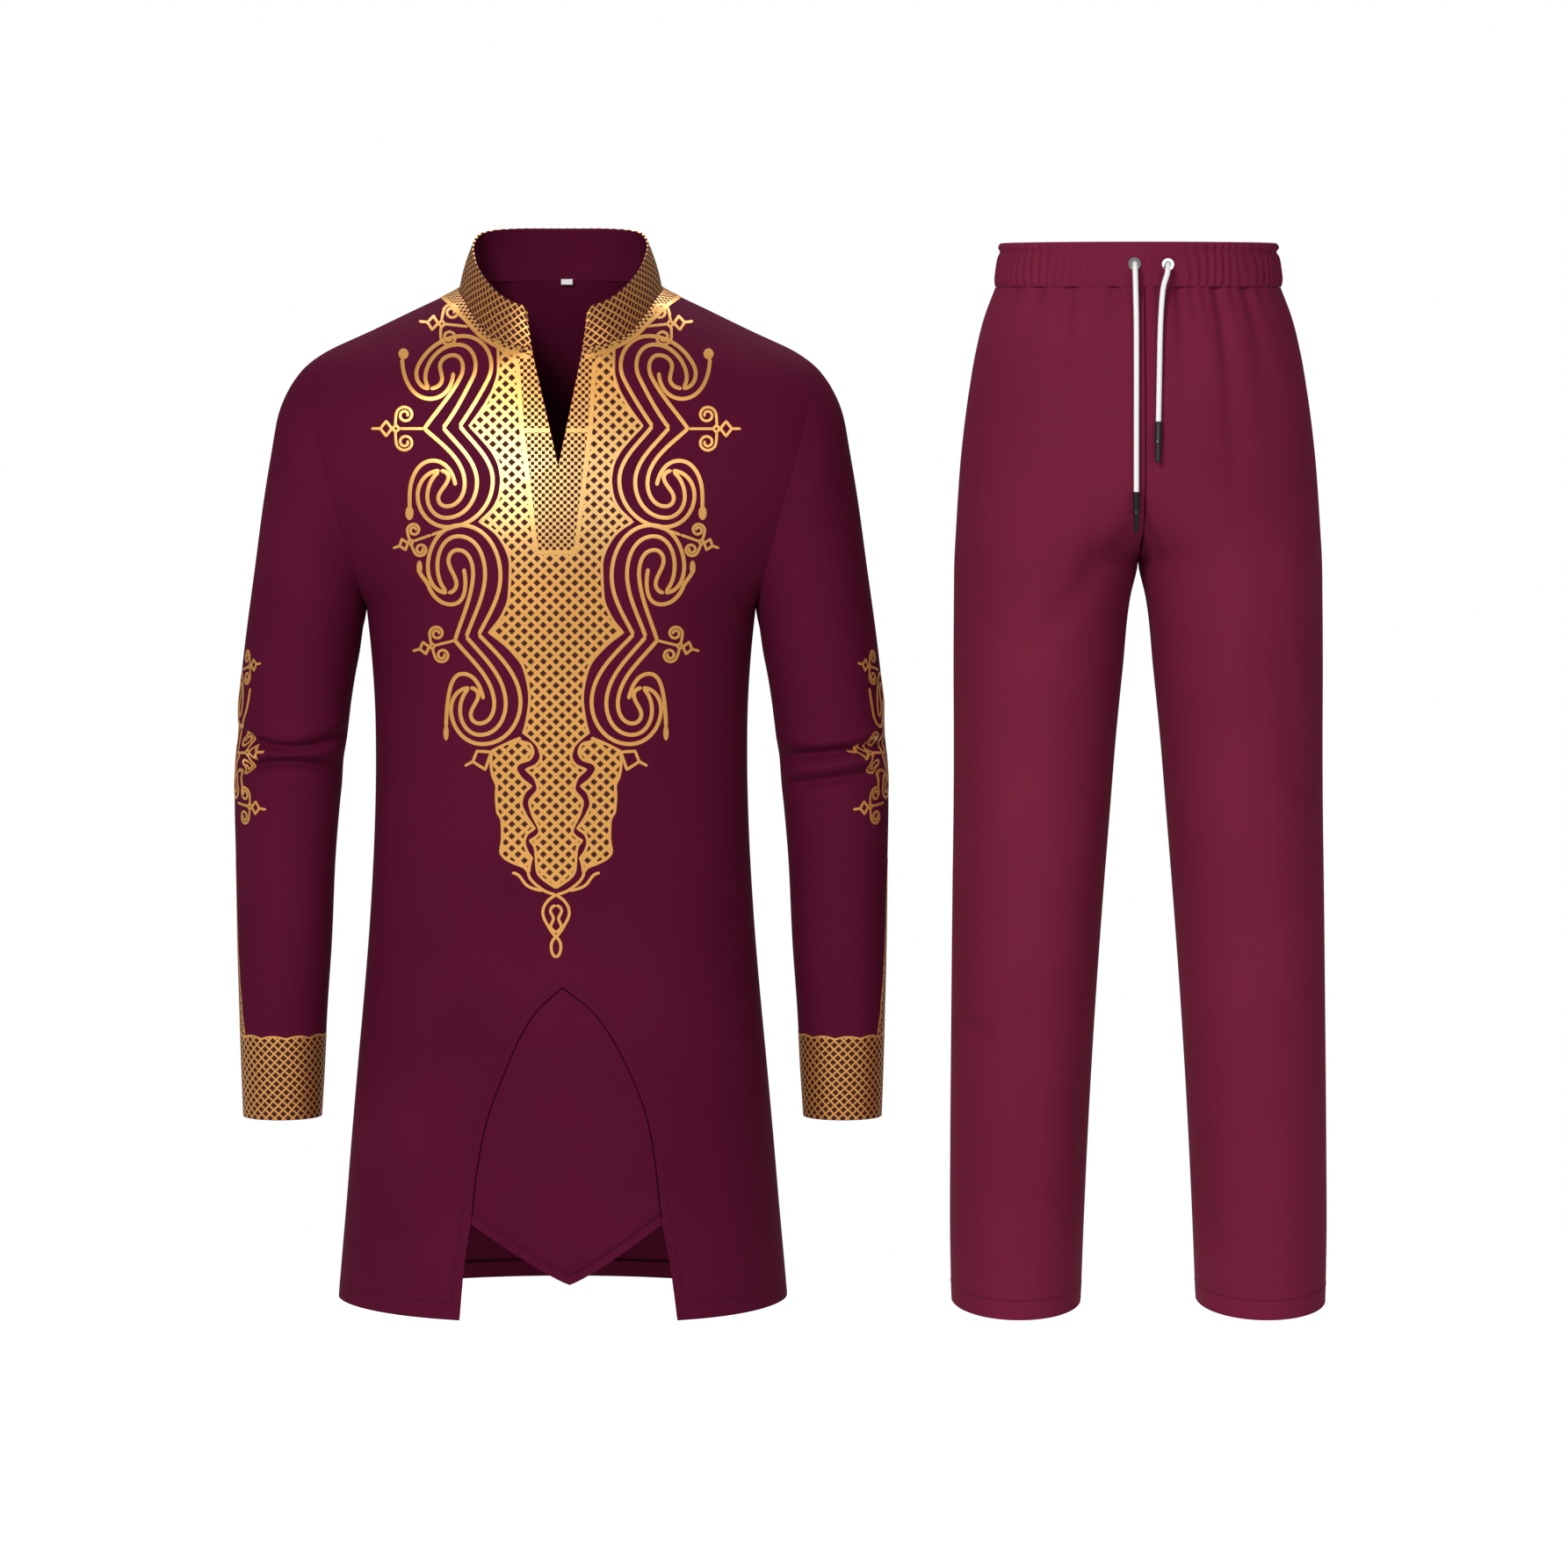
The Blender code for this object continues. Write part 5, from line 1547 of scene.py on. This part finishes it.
def cord_path(route):
    """Points on one smooth curve through the cord's route."""
    places = [Vector((x, cloth_depth(x, z) - off, z)) for x, z, off in rows_of(route)]
    ends = [places[0] * 2 - places[1]] + places + [places[-1] * 2 - places[-2]]
    path = []
    for a, b, c, d in zip(ends, ends[1:], ends[2:], ends[3:]):
        for step in range(CORD_POINTS_A_SPAN):
            t = step / CORD_POINTS_A_SPAN
            bend = (2 * a - 5 * b + 4 * c - d) * t**2 + (3 * b - a - 3 * c + d) * t**3
            path.append((2 * b + (c - a) * t + bend) / 2)
    path.append(places[-1])
    return np.array([tuple(place) for place in path])


def make_cord(name, finish, tip_finish):
    """A soft braided cord with small strands that cross round it, and its tip's own colour."""
    path = cord_path(CORD_ROUTES[name])
    line = spaced(path, 140)
    around = 24
    tangents = unit(np.gradient(line, axis=0))
    side = np.cross(tangents, (0, -1, 0.001))
    side = np.where(np.linalg.norm(side, axis=1)[:, None] < 0.3, (1.0, 0, 0), side)
    side = unit(side - tangents * np.sum(side * tangents, axis=1)[:, None])
    other = np.cross(tangents, side)
    run = lengths_along(line)
    rings = []
    for row in range(len(line)):
        turn = np.linspace(0, 2 * math.pi, around, endpoint=False)
        braid = np.abs(np.sin(4 * turn + run[row] * 700)) * np.abs(np.sin(4 * turn - run[row] * 700))
        radius = CORD_WIDTH / 2 - 0.0003 + 0.0003 * braid
        ring = side[row] * (np.cos(turn) * radius)[:, None] + other[row] * (np.sin(turn) * radius)[:, None]
        rings.append(line[row] + ring)
    mesh = bpy.data.meshes.new("drawcord_" + name)
    points = np.concatenate(rings)
    faces = []
    for row in range(len(line) - 1):
        for step in range(around):
            beside = (step + 1) % around
            a, b = row * around + step, row * around + beside
            faces.append((a, b, b + around, a + around))
    faces.append(tuple(range(around))[::-1])
    faces.append(tuple(range(len(points) - around, len(points))))
    mesh.from_pydata(points.tolist(), [], faces)
    cord = bpy.data.objects.new("braided_cord_" + name, mesh)
    bpy.context.scene.collection.objects.link(cord)
    bm = bmesh.new()
    bm.from_mesh(mesh)
    bmesh.ops.recalc_face_normals(bm, faces=bm.faces)
    bm.to_mesh(mesh)
    bm.free()
    mesh.materials.append(finish)
    smooth(cord)
    dressed(cord, "cord_cloth", "drawcord_" + name)
    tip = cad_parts["cord_tip_" + name]
    tip.data.materials.clear()
    tip.data.materials.append(tip_finish)


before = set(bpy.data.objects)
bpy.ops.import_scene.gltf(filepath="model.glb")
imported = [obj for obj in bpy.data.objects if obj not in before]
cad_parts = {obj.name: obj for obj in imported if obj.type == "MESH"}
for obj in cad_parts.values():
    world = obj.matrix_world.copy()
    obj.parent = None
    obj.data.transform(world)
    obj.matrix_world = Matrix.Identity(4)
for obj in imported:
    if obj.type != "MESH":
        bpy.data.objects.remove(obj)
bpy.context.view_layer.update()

make_camera()
make_studio()

GROUPS = {"lattice": make_lattice_group(), "checks": make_checks_group(), "grain": make_grain_group()}
wine = cloth_material("wine_cloth", (0.092, 0.0062, 0.027), (0.078, 0.0048, 0.023))
warm_wine = cloth_material("warm_wine_cloth", (0.170, 0.0150, 0.043), (0.148, 0.0125, 0.037))
gold = foil_material("gold_foil")
wide_lattice = foil_material("wide_lattice_foil", "lattice", Across=0.0112, Down=0.0107, Hole=0.290)
fine_lattice = foil_material("fine_lattice_foil", "lattice", 0.2, Across=0.0083, Down=0.0079, Hole=0.365)
# The collar's foil has more dark gold: painted shade for the shade that falls on the collar.
collar_lattice = foil_material("collar_lattice_foil", "lattice", 0.4, Across=0.0083, Down=0.0083, Hole=0.365)
checks = foil_material("checked_foil", "checks", Across=0.0032, Down=0.00315)
# Painted shadow: the dark lines along the seams and inside the back hem's fold.
seam = plain_material("seam_shadow", (0.024, 0.0012, 0.007), 0.9, 0.02)
tip_black = plain_material("tip_black", (0.008, 0.008, 0.009), 0.35, 0.3)
stitches = stitch_material("stitch_row", (0.060, 0.0040, 0.018), (0.085, 0.0055, 0.025))
warm_stitches = stitch_material("warm_stitch_row", (0.105, 0.0090, 0.026), (0.158, 0.0137, 0.040))
white_braid = plain_material("white_braid", (0.86, 0.86, 0.85), 0.8)

for name in SIDES:
    make_cord(name, white_braid, tip_black)

front_grids, back_grids = tunic_halves(FRONT, 7, 60), tunic_halves(BACK, 6, 48)
tree = cloth_tree(front_grids)
prints = [
    print_piece("front_scroll_print", scroll_patches(tree) + tail_patches(tree), gold),
    print_piece("front_lattice_print", panel_patches(tree), wide_lattice),
    print_piece("front_edge_print", panel_edges(tree), gold),
    print_piece("placket_checks_print", placket_patches(tree), checks),
]
whole = cloth_tree(front_grids + back_grids)
band = neck_band(whole, (0, 0.0006), (1, 0), LIFT + 0.0001, 6)
prints.append(print_piece("neck_checks_print", band, checks))
band = neck_band(whole, (1, 0), (1, NECK_EDGE), LIFT + 0.00035, 3)
prints.append(print_piece("neck_edge_print", band, gold))

mirrors = ((1, 1), (-1, 1))
arch = arch_line(ARCH_TOP, ARCH_FOOT)
joints = [body_ribbon(arch * mirror, 0.0012, FRONT, SEAM_LIFT) for mirror in mirrors]
lower = len(lower_body(BACK, 1, False))
for front, back in zip(front_grids, back_grids):
    joints.append(edge_seam(front[-lower:, [-1, -2]], back[-lower:, [-1, -2]], (0, 0)))
prints.append(print_piece("tunic_seam_shadows", joints, seam, slot_name="tunic_cloth"))
hem = HEM + HEM_STITCHES
rows = [arch_line(ARCH_TOP, hem, 0.0078), hem_line(hem, 0.1040, 0.2036)]
rows = [body_ribbon(line * mirror, STITCH_WIDTH, FRONT, SEAM_LIFT) for line in rows for mirror in mirrors]
rows.append(body_ribbon(hem_line(hem, -0.2036, 0.2036), STITCH_WIDTH, BACK, SEAM_LIFT))
prints.append(print_piece("tunic_stitches", rows, stitches, slot_name="tunic_cloth"))
sewn_cloth("tunic_front", "tunic_cloth", front_grids, (0, 0), wine)

# A line of painted shade inside the back's hem, where its fold lies in shadow.
fold = body_ribbon(hem_line(hem, -0.1900, 0.1900), 0.0018, BACK, -THIN_CLOTH - 0.0006)
prints = [print_piece("back_hem_fold_shadow", [fold], seam, slot_name="tunic_cloth")]
sewn_cloth("tunic_back", "tunic_cloth", back_grids, (0, 0), wine)

beside = np.linspace(-1, 1, 81)
line = np.stack([beside * 0.0840, inset_foot(beside) + 0.011], axis=1)
rows = [body_ribbon(line, STITCH_WIDTH, FRONT, 0.0019)]
prints = [print_piece("inset_stitches", rows, stitches, slot_name="tunic_cloth")]
sewn_cloth("tunic_inset", "tunic_cloth", [inset_grid()], (0, 0), wine)

grid = collar_grid()
piece = cloth_piece("collar_cloth", [cloth_patch(grid)], (0, 0), COLLAR_CLOTH, collar_lattice, wine)
dressed(piece, "printed_cloth", "collar")

for name, side in SIDES.items():
    grid = sleeve_grid(name)
    core = (side * 0.245, 0)
    lattice, edges = cuff_patches(grid)
    prints = [
        print_piece("cuff_lattice_print_" + name, lattice, fine_lattice, core),
        print_piece("cuff_edge_print_" + name, edges, gold, core),
        print_piece("sleeve_scroll_print_" + name, sleeve_scroll(grid), gold, core),
    ]
    piece = cloth_piece("sleeve_cloth_" + name, [cloth_patch(grid)], core, THIN_CLOTH, wine)
    dressed(piece, "tunic_cloth", "sleeve_" + name)

legs = {(side, face): leg_grid(side, face) for side in SIDES.values() for face in (FRONT, BACK)}
rise = len(heights_between(WAIST_SEAM, CROTCH, FINE_STEP))
for name, side in SIDES.items():
    core = (TROUSERS_X + side * 0.08, 0)
    for word, face in (("front", FRONT), ("back", BACK)):
        grid, other = legs[side, face], legs[side, -face]
        title = "trouser_" + word + "_" + name
        rows = [leg_stitches(side, face)]
        prints = [print_piece(title + "_stitches", rows, warm_stitches, core, "trouser_cloth")]
        if face == FRONT:
            joint = edge_seam(grid[rise:, [-1, -2]], other[rise:, [-1, -2]], core)
            prints.append(print_piece("inseam_shadow_" + name, [joint], seam, core, "trouser_cloth"))
        if side == SIDES["left"]:
            joint = edge_seam(grid[:rise, [-1, -2]], legs[-side, face][:rise, [-1, -2]], (TROUSERS_X, 0))
            prints.append(print_piece("middle_seam_shadow_" + word, [joint], seam, (TROUSERS_X, 0), "trouser_cloth"))
        sewn_cloth(title, "trouser_cloth", [grid], core, warm_wine)

grid = band_grid()
piece = cloth_piece("waistband_cloth", [cloth_patch(grid)], (TROUSERS_X, 0), BAND_CLOTH, warm_wine)
dressed(piece, "trouser_cloth", "waistband")
